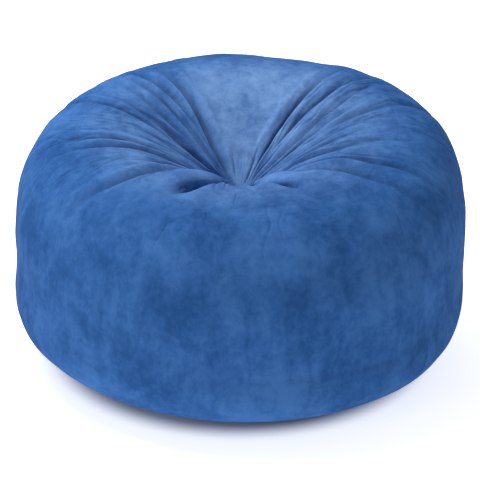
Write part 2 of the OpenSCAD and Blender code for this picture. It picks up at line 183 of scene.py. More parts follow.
# %% Grid to mesh
def mesh_piece(name, points, faces, uv=None):
    """Makes a smooth-shaded object from points and faces, with an optional UV per point."""
    mesh = bpy.data.meshes.new(name)
    faces = faces if isinstance(faces, list) else faces.tolist()
    mesh.from_pydata(points.reshape(-1, 3).tolist(), [], faces)
    if uv is not None:
        corner = np.zeros(len(mesh.loops), np.int32)
        mesh.loops.foreach_get("vertex_index", corner)
        layer = mesh.uv_layers.new(name="cloth")
        layer.data.foreach_set("uv", uv.reshape(-1, 2)[corner].astype(np.float32).ravel())
    mesh.polygons.foreach_set("use_smooth", np.ones(len(mesh.polygons), bool))
    piece = bpy.data.objects.new(name, mesh)
    bpy.context.scene.collection.objects.link(piece)
    return piece


def grid_faces(rows, columns, closed):
    """Four corners of every face of a grid; a closed grid joins its last column to its first."""
    last = columns if closed else columns - 1
    i, j = np.meshgrid(np.arange(rows - 1), np.arange(last), indexing="ij")
    k = (j + 1) % columns
    return np.stack([i * columns + j, i * columns + k, (i + 1) * columns + k, (i + 1) * columns + j],
                    -1).reshape(-1, 4)


# %% [markdown]
# ## The folds
# Where the top is drawn in to a point there is too much cloth for the way round, and it stands up
# in folds. Each fold is a valley that runs out from the gather: narrow and deep near it, wider and
# shallower further out, with a rounded ridge on either side. On this bag they fan out to the left
# and right, two deep ones cut the front lip, and the back of the hollow stays almost smooth.
# A flap is cloth beside a valley that slides over it, which turns a deep fold into a pocket.

# %% The plan of the folds
rng = np.random.default_rng(7)


def smoothstep(x):
    """0 below 0, 1 above 1, and 3x^2 - 2x^3 between."""
    x = np.clip(x, 0, 1)
    return x * x * (3 - 2 * x)


def fold(at, depth, width, reach, bend=0.0, tuck=0.0, skew=0.0, cover=0.0):
    """One fold: angle in degrees, then depth, half-width and reach in metres, its steep wall and its flap."""
    return dict(at=at, depth=depth, width=width, reach=reach, bend=bend, tuck=tuck, skew=skew, cover=cover)


def fan(first, last, count, depth, width, reach, bend):
    """A row of folds from one angle to another, each a little different from the next."""
    step = (last - first) / max(count - 1, 1)
    return [fold(first + step * (i + rng.uniform(-0.34, 0.34)), depth * rng.uniform(0.35, 1.6),
                 width * rng.uniform(0.7, 1.4), reach * rng.uniform(0.60, 1.15),
                 bend * rng.uniform(0.5, 1.5), rng.uniform(-0.5, 0.5)) for i in range(count)]


folds = [
    fold(252, 0.092, 0.027, 0.60, -9, 0, 0.2, 0.58), fold(294, 0.084, 0.023, 0.56, 5, 0, -0.2, -0.62),
    fold(229, 0.030, 0.013, 0.84, -6, 0.7, 0.3), fold(317, 0.030, 0.013, 0.86, 6, -0.7, -0.3),
    fold(119, 0.030, 0.014, 0.66, 5, 0.5, -0.3), fold(127, 0.025, 0.012, 0.74, 5, 0.4, -0.3),
    fold(54, 0.026, 0.014, 0.68, -5, -0.1, 0.3), fold(43, 0.022, 0.012, 0.76, -5, -0.1, 0.3),
    fold(64, 0.020, 0.014, 0.22, 0, -0.2, 0.2),
]
folds += fan(135, 222, 12, 0.0140, 0.0100, 0.84, -5)
folds += fan(-38, 36, 10, 0.0145, 0.0105, 0.82, 5)
folds += fan(80, 100, 2, 0.004, 0.010, 0.20, 0)
folds += fan(264, 282, 3, 0.009, 0.011, 0.32, 0)
folds += fan(130, 408, 20, 0.008, 0.007, 0.20, 0)
print(len(folds), "folds")


# %% How deep the folds are at each point
def fold_field(theta, t):
    """Sums the folds. Returns how far the cloth moves outward and how far it tucks sideways, in metres."""
    s = np.maximum(T_GATHER - t, 0)
    r = np.maximum(np.interp(t, along, line[:, 0]), 0.02)
    outward, sideways = np.zeros_like(theta + t), np.zeros_like(theta + t)
    for f in folds:
        centre = np.radians(f["at"] + f["bend"] * (s / 0.6) ** 2)
        x = (np.mod(theta - centre + np.pi, 2 * np.pi) - np.pi) * r
        grow = smoothstep(s / 0.09) * (1 - smoothstep((s / f["reach"] - 0.45) / 0.55))
        near = np.minimum(1, r / 0.16)
        width = f["width"] * (0.35 + 0.65 * near) * (0.8 + 0.5 * s / 0.6)
        depth = f["depth"] * grow * (0.35 + 0.65 * near)
        steep = np.where(x * f["skew"] < 0, 1 - 0.8 * abs(f["skew"]), 1 + abs(f["skew"]))
        valley = np.exp(-(np.abs(x) / (width * steep)) ** 1.25)
        ridge = np.exp(-((np.abs(x) - 1.9 * width) / (1.1 * width)) ** 2)
        outward += depth * (0.34 * ridge - valley)
        sideways += depth * f["tuck"] * np.exp(-((x / width - np.sign(f["tuck"]) * 0.6) ** 2))
        flap = np.exp(-((x / width + np.sign(f["cover"]) * 1.4) / 0.9) ** 2)
        sideways += depth * f["cover"] * flap * smoothstep((s - 0.10) / 0.10)
    return outward, sideways


# %% [markdown]
# ## Fine creases
# Between the folds the suede is full of short fine creases, too small for the cloth simulation.
# Each is a thin groove with a start and an end, laid over the settled cloth.

# %% The creases
def crease_list():
    """Creases at random angles in the two fans, and a few elsewhere, each with a start and an end."""
    draw = np.random.default_rng(21)
    found = []
    for middle, spread, count in ((178, 24, 90), (2, 22, 80), (125, 6, 10), (48, 6, 10), (272, 28, 14)):
        for _ in range(count):
            start = draw.uniform(0.08, 0.62)
            found.append((middle + spread * draw.normal(), start, start + draw.uniform(0.08, 0.32),
                          draw.uniform(0.0012, 0.0042), draw.uniform(0.0026, 0.0054), draw.uniform(-22, 22)))
    return found


def creases(theta, s, r):
    """Sum of thin grooves: each fades in and out along its length and wanders a little sideways."""
    theta, s, r = np.broadcast_arrays(theta, s, r)
    total = np.zeros(s.shape)
    for at, start, end, depth, width, wander in crease_list():
        near = (s > start) & (s < end)
        part = (s[near] - start) / (end - start)
        centre = np.radians(at + wander * (s[near] - start) + 0.6 * np.sin(9 * part + at))
        x = (np.mod(theta[near] - centre + np.pi, 2 * np.pi) - np.pi) * r[near]
        groove = 0.35 * np.exp(-((np.abs(x) - 2 * width) / width) ** 2) - np.exp(-np.abs(x) / width)
        total[near] += depth * np.sin(np.pi * part) * groove
    return total


# %% [markdown]
# ## Lumps of foam
# The foam is torn into lumps, so the skin over it is never quite even. A sum of waves that run in
# random directions, the long ones high and the short ones low, gives soft swells with no grid in them.

# %% Swells from the foam
def waves(point, count, longest, shortest, height, seed):
    """Sum of sine waves in random directions, each as high as its own length allows."""
    draw = np.random.default_rng(seed)
    total = np.zeros(point.shape[:-1])
    for _ in range(count):
        length = longest * (shortest / longest) ** draw.random()
        direction = draw.normal(size=3)
        direction /= np.linalg.norm(direction)
        wave = np.sin(point @ direction * 2 * np.pi / length + draw.uniform(0, 2 * np.pi))
        total += length / longest * wave
    return height * total / math.sqrt(count)


def lumps(point, t):
    """Swells everywhere on the side and the top, dying out on the flat base and at the zip."""
    free = smoothstep((t - T_ZIP - 0.03) / 0.10)
    broad = waves(point, 24, 0.80, 0.26, 0.0075, 3)
    small = waves(point, 40, 0.20, 0.07, 0.0024, 5)
    return free * (broad + small)


# %% [markdown]
# ## Where the heap leans
# A heap of foam is never a true turned shape. A few wide soft bulges and hollows, each a bell curve
# over the angle and the distance along the meridian, lift the crest, lower the front lip and swell
# the shoulder and the lower edge.

# %% Bulges of the heap: angle, spread in degrees, distance, spread in metres, height
SLUMPS = (
    (26, 40, T_TOP_SEAM - 0.08, 0.20, 0.018),
    (84, 40, T_CREST, 0.16, 0.013),
    (270, 30, T_GATHER - 0.27, 0.11, -0.022),
    (228, 26, T_BASE_SEAM, 0.10, -0.014),
    (-2, 36, T_TOP_SEAM - 0.16, 0.12, 0.010),
    (-52, 40, T_ZIP - 0.02, 0.13, 0.034),
    (216, 26, T_ZIP + 0.10, 0.10, 0.012),
)


def slump(theta, t):
    """Soft bulges, each at an angle and a distance, with two spreads and a height; none at the zip."""
    total = np.zeros_like(theta + t)
    for at, spread, middle, width, height in SLUMPS:
        x = (np.mod(np.degrees(theta) - at + 180, 360) - 180) / spread
        total += height * np.exp(-x ** 2 - ((t - middle) / width) ** 2)
    from_back = np.abs(np.mod(theta - np.pi / 2 + np.pi, 2 * np.pi) - np.pi)
    at_zip = (1 - smoothstep((from_back - ZIP_HALF) / 0.35)) * (1 - smoothstep((t - T_ZIP - 0.03) / 0.10))
    return total * smoothstep((t - starts["edge"]) / 0.06) * (1 - at_zip)


# %% The planned shape of the cloth
def planned(theta, t):
    """The smooth bag moved outward by folds, lumps and bulges, and sideways by each fold's tuck and flap."""
    base = smooth_bag(theta, t)
    round_it, _, out = directions(theta, t)
    outward, sideways = fold_field(theta, t)
    level = out * np.array([1, 1, 0]) + np.maximum(out, 0) * np.array([0, 0, 1])
    moved = base + (outward + lumps(base, t))[..., None] * out + sideways[..., None] * round_it
    return moved + slump(theta, t)[..., None] * level


# %% [markdown]
# ## Letting the cloth settle
# Drawn folds look drawn. So the plan is handed to a cloth simulation: a coarse net of the top and
# the upper side, cut wider than the way round it, as the real panel is before it is gathered.
# The foam is a weak spring that holds each point near its place, and the air in the bag is a small
# pressure. The spare width buckles into folds, which start in the planned valleys.

# %% The spare cloth round the bag
def spare(theta, s):
    """Share by which the cloth is wider than the bag: most by the gather and at the two fans."""
    degrees = np.degrees(theta)
    sector = 0.10 + 0.30 * np.exp(-(np.abs(np.mod(degrees - 175 + 180, 360) - 180) / 52) ** 4)
    sector += 0.30 * np.exp(-(np.abs(np.mod(degrees - 3 + 180, 360) - 180) / 48) ** 4)
    sector += 0.10 * np.exp(-(np.abs(np.mod(degrees - 272 + 180, 360) - 180) / 60) ** 4)
    return sector * (1 - smoothstep((s - 0.20) / 0.62))


def cut_cloth(theta, t):
    """The net as it was cut: the same length down, and wider round by the spare share."""
    s = np.maximum(T_GATHER - t, 0)
    wide = 1 + spare(theta, s)
    mean = wide.mean(axis=1, keepdims=True)
    turn = (np.cumsum(wide, axis=1) - wide) / mean * 2 * np.pi / theta.shape[1]
    rest_r = np.interp(t[:, :1], along, line[:, 0]) * mean
    down, across = np.diff(t[:, :1], axis=0), np.diff(rest_r, axis=0)
    fall = np.sqrt(np.maximum(down ** 2 - across ** 2, (0.15 * down) ** 2))
    z = np.concatenate([[[0]], np.cumsum(fall, axis=0)])
    return np.stack([rest_r * np.cos(turn), rest_r * np.sin(turn), z + 0 * turn], -1)


# %% Cloth simulation
NET_AROUND, NET_ROWS = 400, 112
NET_LOW = starts["wall"] + 0.02
SETTLE_FRAMES = 16


def settle(points, cut, hold):
    """Runs Blender's cloth on a net: its springs rest at the cut shape, its goal is where it starts."""
    rows, columns = hold.shape
    net = mesh_piece("net", points, grid_faces(rows, columns, True))
    net.shape_key_add(name="Basis")
    key = net.shape_key_add(name="cut")
    key.data.foreach_set("co", cut.reshape(-1).astype(np.float32))
    group = net.vertex_groups.new(name="hold")
    for weight in np.unique(hold.round(2)):
        group.add(np.flatnonzero(hold.round(2).ravel() == weight).tolist(), float(weight), "REPLACE")
    cloth = net.modifiers.new("cloth", "CLOTH")
    settings = cloth.settings
    settings.rest_shape_key = key
    settings.vertex_group_mass = "hold"
    settings.pin_stiffness = 0.35
    settings.quality = 5
    settings.mass = 0.35
    settings.tension_stiffness, settings.compression_stiffness = 25, 25
    settings.shear_stiffness, settings.bending_stiffness = 5, 0.8
    settings.air_damping = 4
    settings.use_pressure = True
    settings.uniform_pressure_force = 1.2
    settings.effector_weights.gravity = 0
    cloth.collision_settings.use_collision = False
    cloth.point_cache.frame_start, cloth.point_cache.frame_end = 1, SETTLE_FRAMES
    scene = bpy.context.scene
    for frame_number in range(1, SETTLE_FRAMES + 1):
        scene.frame_set(frame_number)
    shown = net.evaluated_get(bpy.context.evaluated_depsgraph_get())
    settled = np.empty(len(shown.data.vertices) * 3, np.float32)
    shown.data.vertices.foreach_get("co", settled)
    scene.frame_set(1)
    bpy.data.objects.remove(net)
    return settled.reshape(points.shape).astype(float)


# %% Run it and keep how far each point moved
net_theta, net_t = np.meshgrid(np.linspace(0, 2 * np.pi, NET_AROUND, endpoint=False),
                               np.linspace(NET_LOW, T_GATHER, NET_ROWS))
net_plan = planned(net_theta, net_t)
MOST_MOVE = 0.040
edge = np.minimum(net_t - NET_LOW, T_GATHER - net_t)
lip = np.exp(-((net_theta - math.radians(272)) / 0.58) ** 4)
lip *= 1 - smoothstep((T_GATHER - net_t - 0.34) / 0.20)
hold = np.where(edge < 0.012, 1.0, 0.04 + 0.30 * (1 - smoothstep(edge / 0.10)) + 0.3 * lip)
net_move = settle(net_plan, cut_cloth(net_theta, net_t), hold) - net_plan
size = np.linalg.norm(net_move, axis=-1, keepdims=True)
net_move *= np.minimum(1, MOST_MOVE / np.maximum(size, 1e-9)) * (1 - 0.75 * lip[..., None])
print("cloth moved up to", round(float(size.max()) * 1000, 1), "mm, on average",
      round(float(size.mean()) * 1000, 1), "mm")


def cubic(u):
    """Weights of four neighbours for a Catmull-Rom curve, at a share u between the middle two."""
    return np.stack([-u + 2 * u ** 2 - u ** 3, 2 - 5 * u ** 2 + 3 * u ** 3,
                     u + 4 * u ** 2 - 3 * u ** 3, -u ** 2 + u ** 3]) / 2


def settled_move(theta, t):
    """Reads the net's movement at any angle and distance, smoothly between its points."""
    column = np.mod(theta, 2 * np.pi) / (2 * np.pi) * NET_AROUND
    row = np.clip((t - NET_LOW) / (T_GATHER - NET_LOW), 0, 1) * (NET_ROWS - 1)
    j, i = np.floor(column).astype(int), np.minimum(np.floor(row).astype(int), NET_ROWS - 2)
    across, down = cubic(column - j), cubic(row - i)
    total = np.zeros(theta.shape + (3,))
    for a in range(4):
        for b in range(4):
            take = net_move[np.clip(i + a - 1, 0, NET_ROWS - 1), (j + b - 1) % NET_AROUND]
            total += (down[a] * across[b])[..., None] * take
    return total * (t > NET_LOW)[..., None]


# %% [markdown]
# ## The cover as it lies
# The settled cloth gets its seams, each a shallow groove, and its fine creases. Where the liner's
# zip runs behind it, the cover is lifted just clear of the slider.

# %% The dressed cover
SEAM_DEPTH, SEAM_HALF = 0.0013, 0.0030


def seam_groove(distance):
    """A shallow round valley where two edges of cloth are pulled together by their stitches."""
    return -SEAM_DEPTH * np.exp(-(distance / SEAM_HALF) ** 2)


def over_liner_zip(theta, t):
    """1 over the way of the liner's zip slider, 0 a few centimetres from it."""
    from_back = np.abs(np.mod(theta - np.pi / 2 + np.pi, 2 * np.pi) - np.pi)
    past_end = smoothstep((from_back - LINER_ZIP_HALF - 0.01) / 0.12)
    return (1 - past_end) * (1 - smoothstep((np.abs(t - T_LINER_ZIP) - 0.025) / 0.08))


def dressed(theta, t, deeper=0.0):
    """The settled cloth with its seams, at a depth under the cover's outer face."""
    out = directions(theta, t)[2]
    plump = 0.65 + 0.35 * np.sin(theta)
    outward = plump * seam_groove(t - T_TOP_SEAM) + seam_groove(t - T_BASE_SEAM)
    r = np.interp(t, along, line[:, 0])
    on_side = (t > T_BASE_SEAM) & (t < T_TOP_SEAM)
    outward = outward + np.where(on_side, seam_groove(r * np.sin(theta)), 0)
    s = T_GATHER - t
    outward = outward + creases(theta, s, np.maximum(r, 0.02))
    settled = planned(theta, t) + settled_move(theta, t)
    height = ((settled - smooth_bag(theta, t)) * out).sum(-1) + outward
    outward = outward + over_liner_zip(theta, t) * np.maximum(0.0015 - height, 0)
    return settled + np.asarray(outward - deeper)[..., None] * out


# %% [markdown]
# ## Panels of the cover
# The cover is cut as a top, two side halves, a narrow strip under the zip and a base. Each panel is
# a grid over the angle and the distance along the meridian, and its edges are turned in a few
# millimetres, as a seam allowance is, so that no gap shows in a seam.
# Each point also keeps two numbers for the suede: how far it stands above the cloth beside it,
# which the suede turns into painted shade in the hollows, and how much of the seat's lighter tones
# it gets, which are painted light on the top as well as nap.

# %% A panel with turned edges
TURNED_IN = 0.0040
AROUND = 1200


def open_zip(theta):
    """1 where the zip's opening is, 0 past its ends, for the opening's half angle about the back."""
    from_back = np.abs(np.mod(theta - np.pi / 2 + np.pi, 2 * np.pi) - np.pi)
    return 1 - smoothstep((from_back - ZIP_HALF) / 0.006 + 0.5)


def area_of(points):
    """Sum of the areas of a grid's quads, each half the length of its diagonals' cross product."""
    one, two = points[1:, 1:] - points[:-1, :-1], points[1:, :-1] - points[:-1, 1:]
    return float(np.linalg.norm(np.cross(one, two), axis=-1).sum() / 2)


def sliding(values, half, how, closed=True):
    """Lowest or mean value in a window of 2 * half + 1 columns of a row."""
    half = min(half, values.shape[-1] // 2 - 1)
    around = [(0, 0)] * (values.ndim - 1) + [(half, half)]
    wide = np.pad(values, around, mode="wrap" if closed else "edge")
    window = np.lib.stride_tricks.sliding_window_view(wide, 2 * half + 1, axis=-1)
    return window.min(-1) if how == "lowest" else window.mean(-1)


def relief(points, theta, t, closed):
    """How far each point stands above the cloth beside it, 0.5 where level, 0 in a fold 40 mm deep."""
    height = ((points - smooth_bag(theta, t)) * directions(theta, t)[2]).sum(-1)
    step = np.abs(theta[0, 2] - theta[0, 1])
    for row, r in zip(height, np.interp(t[:, 0], along, line[:, 0])):
        row -= sliding(row, int(0.035 / (max(r, 0.03) * step)), "mean", closed)
    return np.clip(0.5 + height / 0.080, 0, 1)


def panel(name, thetas, low, high, shares, closed=False, turned=(TURNED_IN, TURNED_IN)):
    """A panel between two edges, given as distances for each angle, with its edges turned in."""
    low, high = low + 0 * thetas, high + 0 * thetas
    theta = np.broadcast_to(thetas, (len(shares), len(thetas)))
    t = low + (high - low) * np.asarray(shares)[:, None]
    depth = np.zeros_like(t)
    theta, t = np.concatenate([theta[:1], theta, theta[-1:]]), np.concatenate([t[:1], t, t[-1:]])
    depth = np.concatenate([depth[:1] + turned[0], depth, depth[-1:] + turned[1]])
    if not closed:
        theta = np.concatenate([theta[:, :1], theta, theta[:, -1:]], axis=1)
        t = np.concatenate([t[:, :1], t, t[:, -1:]], axis=1)
        depth = np.concatenate([depth[:, :1] + TURNED_IN, depth, depth[:, -1:] + TURNED_IN], axis=1)
    points = dressed(theta, t, depth)
    # How far each point stands above its neighbours, which the suede turns into painted shade in the hollows.
    raised = relief(points + depth[..., None] * directions(theta, t)[2], theta, t, closed)
    if closed:
        raised = np.concatenate([raised, raised[:, :1]], axis=1)
        points = np.concatenate([points, points[:, :1]], axis=1)
        theta = np.concatenate([theta, theta[:, :1] + 2 * np.pi], axis=1)
        t = np.concatenate([t, t[:, :1]], axis=1)
    faces = grid_faces(points.shape[0], points.shape[1], False)
    piece = mesh_piece(name, points, faces, np.stack([theta * BODY_R, t], -1))
    # Both numbers paint light into the suede: the seat's share picks its lighter tones, painted light on the
    # top as well as nap, and "raised" paints shade into the hollows.
    for word, values in (("seat_light_and_nap", seat_light_and_nap_share(theta, t)), ("raised", raised)):
        layer = piece.data.attributes.new(word, "FLOAT", "POINT")
        layer.data.foreach_set("value", values.astype(np.float32).ravel())
    if closed:
        weld(piece)
    print(name, len(faces), "faces,", round(area_of(points), 3), "square metres")
    return piece


def seat_light_and_nap_share(theta, t):
    """Share of the seat's lighter tones, painted light on the top as well as nap: 1 from the back to the back
    right, 0.42 elsewhere, 0 on the side.
    """
    seat = smoothstep((t - T_TOP_SEAM + 0.06) / 0.20)
    degrees = np.mod(np.degrees(theta) + 90, 360) - 90
    return seat * (0.42 + 0.58 * smoothstep((degrees + 20) / 70) * (1 - smoothstep((degrees - 100) / 24)))


def weld(piece, reach=0.00002):
    """Joins points that lie on each other, so that a closed strip has no seam."""
    shape = bmesh.new()
    shape.from_mesh(piece.data)
    bmesh.ops.remove_doubles(shape, verts=shape.verts, dist=reach)
    shape.to_mesh(piece.data)
    shape.free()


# %% Cover panels
full_turn = np.linspace(0, 2 * np.pi, AROUND, endpoint=False)
front_turn = np.linspace(np.pi, 2 * np.pi, AROUND // 2 + 1)
back_turn = np.linspace(0, np.pi, AROUND // 2 + 1)
near_edge = np.array([0.0003, 0.0014, 0.0036])


def with_close_rows(shares, width, low=True, high=True):
    """Adds rows close to an edge, so that the cloth turns in sharply there."""
    extra = ([near_edge / width] if low else []) + ([1 - near_edge / width] if high else [])
    return np.unique(np.concatenate([shares] + extra))


even = with_close_rows(np.linspace(0, 1, 118), T_TOP_SEAM - T_BASE_SEAM)
ZIP_SHOW = COIL_GAP + COIL_W + TAPE_SHOW
top_shares = (np.concatenate([np.linspace(T_TOP_SEAM, T_GATHER, 78), [T_GATHER + 0.005, T_NECK]])
              - T_TOP_SEAM) / (T_NECK - T_TOP_SEAM)
top_shares = with_close_rows(top_shares, T_NECK - T_TOP_SEAM, high=False)
zip_edge = ZIP_SHOW * open_zip(back_turn)
TURNED_AT_ZIP = 0.0012
cover_top = panel("suede_top", full_turn, T_TOP_SEAM, T_NECK, top_shares, True, (TURNED_IN, 0))
cover_front = panel("suede_side_front", front_turn, T_BASE_SEAM, T_TOP_SEAM, even)
cover_back = panel("suede_side_back", back_turn, T_ZIP + zip_edge, T_TOP_SEAM, even,
                              turned=(TURNED_AT_ZIP, TURNED_IN))
cover_strip = panel("suede_back_strip", back_turn, T_BASE_SEAM, T_ZIP - zip_edge,
                                np.linspace(0, 1, 16), turned=(TURNED_IN, TURNED_AT_ZIP))
cover_base = panel("suede_base", full_turn[::4], 0.0004, T_BASE_SEAM, np.linspace(0, 1, 64), True,
                              (0, TURNED_IN))

# %% [markdown]
# ## The depth of the layers inside
# The liner and the foam follow the cover, but they bridge its narrow folds. So their surface is the
# lowest that the cover reaches within a few centimetres, smoothed, less the depth of the layer.
# The two pockets in the front lip fold sideways under their own flaps, so it lies lower there.

# %% Surface of an inner layer
FLOOR_ROWS, FLOOR_AROUND, BRIDGE = 260, 600, 0.020
floor_theta, floor_t = np.meshgrid(np.linspace(0, 2 * np.pi, FLOOR_AROUND, endpoint=False),
                                   np.linspace(0, T_GATHER, FLOOR_ROWS))
floor_out = directions(floor_theta, floor_t)[2]
height = ((dressed(floor_theta, floor_t) - smooth_bag(floor_theta, floor_t)) * floor_out).sum(-1)
row_gap = T_GATHER / (FLOOR_ROWS - 1)
for how in ("lowest", "mean"):
    down_half = int(BRIDGE / row_gap)
    padded = np.pad(height, ((down_half, down_half), (0, 0)), mode="edge").T
    window = np.lib.stride_tricks.sliding_window_view(padded, 2 * down_half + 1, axis=-1)
    height = (window.min(-1) if how == "lowest" else window.mean(-1)).T
    for k in range(FLOOR_ROWS):
        r = max(np.interp(floor_t[k, 0], along, line[:, 0]), 0.02)
        height[k] = sliding(height[k], int(BRIDGE / (r * 2 * np.pi / FLOOR_AROUND)), how)
POCKET_ROOM = 0.035
floor_s = T_GATHER - floor_t
at_pockets = np.exp(-((floor_theta - math.radians(273)) / 0.70) ** 4)
at_pockets *= smoothstep((floor_s - 0.03) / 0.07) * (1 - smoothstep((floor_s - 0.34) / 0.20))
floor_height = np.minimum(height, 0) - POCKET_ROOM * at_pockets
print("inner layers follow the cover down to", round(float(floor_height.min()) * 1000, 1), "mm")


def grid_read(values, theta, t):
    """Reads a grid of one number per point between its points, straight in both directions."""
    column = np.mod(theta, 2 * np.pi) / (2 * np.pi) * FLOOR_AROUND
    row = np.clip(t / row_gap, 0, FLOOR_ROWS - 1.001)
    j, i = np.floor(column).astype(int), np.floor(row).astype(int)
    u, v = column - j, row - i
    j, k = j % FLOOR_AROUND, (j + 1) % FLOOR_AROUND
    return ((values[i, j] * (1 - u) + values[i, k] * u) * (1 - v)
            + (values[i + 1, j] * (1 - u) + values[i + 1, k] * u) * v)


LINER_BASE_D = COVER_T + LAYER_GAP
FOAM_BASE_D = LINER_BASE_D + LINER_T + LAYER_GAP


def inside(theta, t, base_depth, side_depth):
    """A layer at one depth under the base and another on the sides, bridging the cover's folds."""
    depth = np.interp(t, [T_BASE_SEAM, T_BASE_SEAM + 0.05], [base_depth, side_depth])
    lowered = grid_read(floor_height, theta, t) - depth
    return smooth_bag(theta, t) + lowered[..., None] * directions(theta, t)[2]


# %% [markdown]
# ## The liner
# A plain cotton bag holds the foam, so that the suede cover can come off and be washed. It has a
# top, a side that is one long band, and a base, and a zip of its own round the back of the side.

# %% Liner panels
LINER_AROUND = 360
dimple_r = GATHER_R + COVER_T + NECK_THREAD_T + NECK_CLEAR
dimple_h = GATHER_H - NECK_L - NECK_CLEAR
t_liner_end = T_GATHER - 0.055


def closed_layer(name, low, high, count, base_depth, side_depth, dimple=None):
    """A layer all the way round. With a dimple, its inner edge closes across the axis at that height."""
    turn = np.linspace(0, 2 * np.pi, LINER_AROUND, endpoint=False)
    theta, t = np.meshgrid(turn, np.linspace(low, high, count))
    points = inside(theta, t, base_depth, side_depth)
    if dimple is not None:
        rings = [(dimple_r * share, dimple) for share in (1.0, 0.7, 0.35, 0.001)]
        more = np.stack([np.stack([r * np.cos(turn), r * np.sin(turn), z + RISE * r * np.sin(turn)], -1)
                         for r, z in rings])
        points = np.concatenate([points, more])
    round_it = np.append(turn, 2 * np.pi) * BODY_R
    uv = np.stack(np.broadcast_arrays(round_it, np.arange(len(points))[:, None] * 0.01), -1)
    points = np.concatenate([points, points[:, :1]], axis=1)
    piece = mesh_piece(name, points, grid_faces(points.shape[0], points.shape[1], False), uv)
    weld(piece)
    print(name, round(area_of(points), 3), "square metres")
    return piece


liner_top = closed_layer("cotton_top", T_TOP_SEAM, t_liner_end, 60, LINER_BASE_D, LINER_DEPTH,
                                         dimple_h)
liner_base = closed_layer("cotton_base", 0.0004, T_BASE_SEAM, 40, LINER_BASE_D, LINER_DEPTH)


# %% Liner side with its opening
def liner_side_piece():
    """The band in three strips, and the middle one, which the zip opens, only past the zip's ends."""
    turn = np.linspace(0, 2 * np.pi, LINER_AROUND + 1)
    t_open = T_LINER_ZIP + np.array([-1, 1]) * (LINER_GAP + LINER_COIL_W + LINER_TAPE_SHOW)
    ts = np.concatenate([np.linspace(T_BASE_SEAM, t_open[0], 26), np.linspace(t_open[1], T_TOP_SEAM, 44)])
    theta, t = np.meshgrid(turn, ts)
    points = inside(theta, t, LINER_BASE_D, LINER_DEPTH)
    faces = grid_faces(len(ts), len(turn), False).reshape(len(ts) - 1, len(turn) - 1, 4)
    middle = (turn[1:] + turn[:-1]) / 2
    keep = np.ones(faces.shape[:2], bool)
    keep[25] = np.abs(middle - np.pi / 2) > LINER_ZIP_HALF
    piece = mesh_piece("cotton_side", points, faces[keep], np.stack([theta * BODY_R, t], -1))
    weld(piece)
    print("cotton_side", round(area_of(points), 3), "square metres")
    return piece


liner_side = liner_side_piece()

# %% [markdown]
# ## Stitches
# A lockstitch shows as a row of short dashes. Each is a small arched capsule, sunk at both ends,
# and a seam is that one shape repeated along its path at the length of the stitch.

# %% Repeat a shape along a path
def at_steps(path, out, step):
    """Points at even steps along a path, with the direction along it and the outward direction."""
    gone = np.concatenate([[0], np.cumsum(np.linalg.norm(np.diff(path, axis=0), axis=1))])
    where = np.arange(step / 2, gone[-1], step)
    place = np.stack([np.interp(where, gone, path[:, k]) for k in range(3)], -1)
    ahead = np.stack([np.interp(where + step / 4, gone, path[:, k]) for k in range(3)], -1)
    normal = np.stack([np.interp(where, gone, out[:, k]) for k in range(3)], -1)
    forward = ahead - place
    forward /= np.linalg.norm(forward, axis=-1, keepdims=True) + 1e-12
    normal -= (normal * forward).sum(-1, keepdims=True) * forward
    normal /= np.linalg.norm(normal, axis=-1, keepdims=True) + 1e-12
    return place, forward, normal


def capsule(length, radius, sides=5):
    """A short rod along X with rounded ends, arched so that its ends sink below its middle."""
    x = np.array([-0.5, -0.36, 0.0, 0.36, 0.5]) * length
    wide = np.array([0.35, 0.95, 1.0, 0.95, 0.35]) * radius
    turn = np.arange(sides) * 2 * np.pi / sides
    arch = radius * (1.2 - 2.4 * (2 * x / length) ** 2) * 0.5
    points = np.stack([np.repeat(x, sides), (wide[:, None] * np.cos(turn)).ravel(),
                       (wide[:, None] * np.sin(turn) + arch[:, None]).ravel()], -1)
    faces = grid_faces(len(x), sides, True)[:, ::-1].tolist()
    faces += [list(range(sides)), [len(x) * sides - 1 - k for k in range(sides)]]
    return points, faces


def repeated(name, shape, place, forward, normal):
    """One mesh with a copy of the shape at each place, its X along forward and its Z along normal."""
    points, faces = shape
    side = np.cross(normal, forward)
    axes = np.stack([forward, side, normal], 1)
    everywhere = place[:, None, :] + np.einsum("pk,nkj->npj", points, axes)
    every_face = [[v + n * len(points) for v in face] for n in range(len(place)) for face in faces]
    return mesh_piece(name, everywhere, every_face)


STITCH_STEP, STITCH_L, STITCH_R = 0.0042, 0.0034, 0.00042


def stitch_row(name, lines, depth=0.0, surface=None):
    """Stitches along one or more lines of angles and distances, laid on the cover's surface."""
    parts = []
    for theta, t in lines:
        theta, t = np.broadcast_arrays(theta, t)
        out = directions(theta, t)[2]
        path = (surface or dressed)(theta, t) - depth * out
        parts.append(at_steps(path, out, STITCH_STEP))
    place, forward, normal = (np.concatenate(x) for x in zip(*parts))
    piece = repeated(name, capsule(STITCH_L, STITCH_R), place, forward, normal)
    print(name, len(place), "stitches")
    return piece


# %% Seams of the cover
ring = np.linspace(0, 2 * np.pi, 3001)
side_line = np.linspace(T_BASE_SEAM, T_TOP_SEAM, 800)
off = 0.0022
thread_top = stitch_row("stitches_top_seam", [(ring, T_TOP_SEAM)])
thread_base = stitch_row("stitches_base_seam", [(ring, T_BASE_SEAM)])
thread_sides = stitch_row("stitches_side_seams", [(0.0, side_line), (np.pi, side_line)])
zip_ring = np.linspace(np.pi / 2 - ZIP_HALF, np.pi / 2 + ZIP_HALF, 1500)
zip_row = ZIP_SHOW + off
ends = [np.linspace(0, np.pi / 2 - ZIP_HALF, 60), np.linspace(np.pi / 2 + ZIP_HALF, np.pi, 60)]
thread_back = stitch_row("stitches_at_zip", [(zip_ring, T_ZIP + zip_row), (zip_ring, T_ZIP - zip_row),
                                             (ends[0], T_ZIP), (ends[1], T_ZIP)])


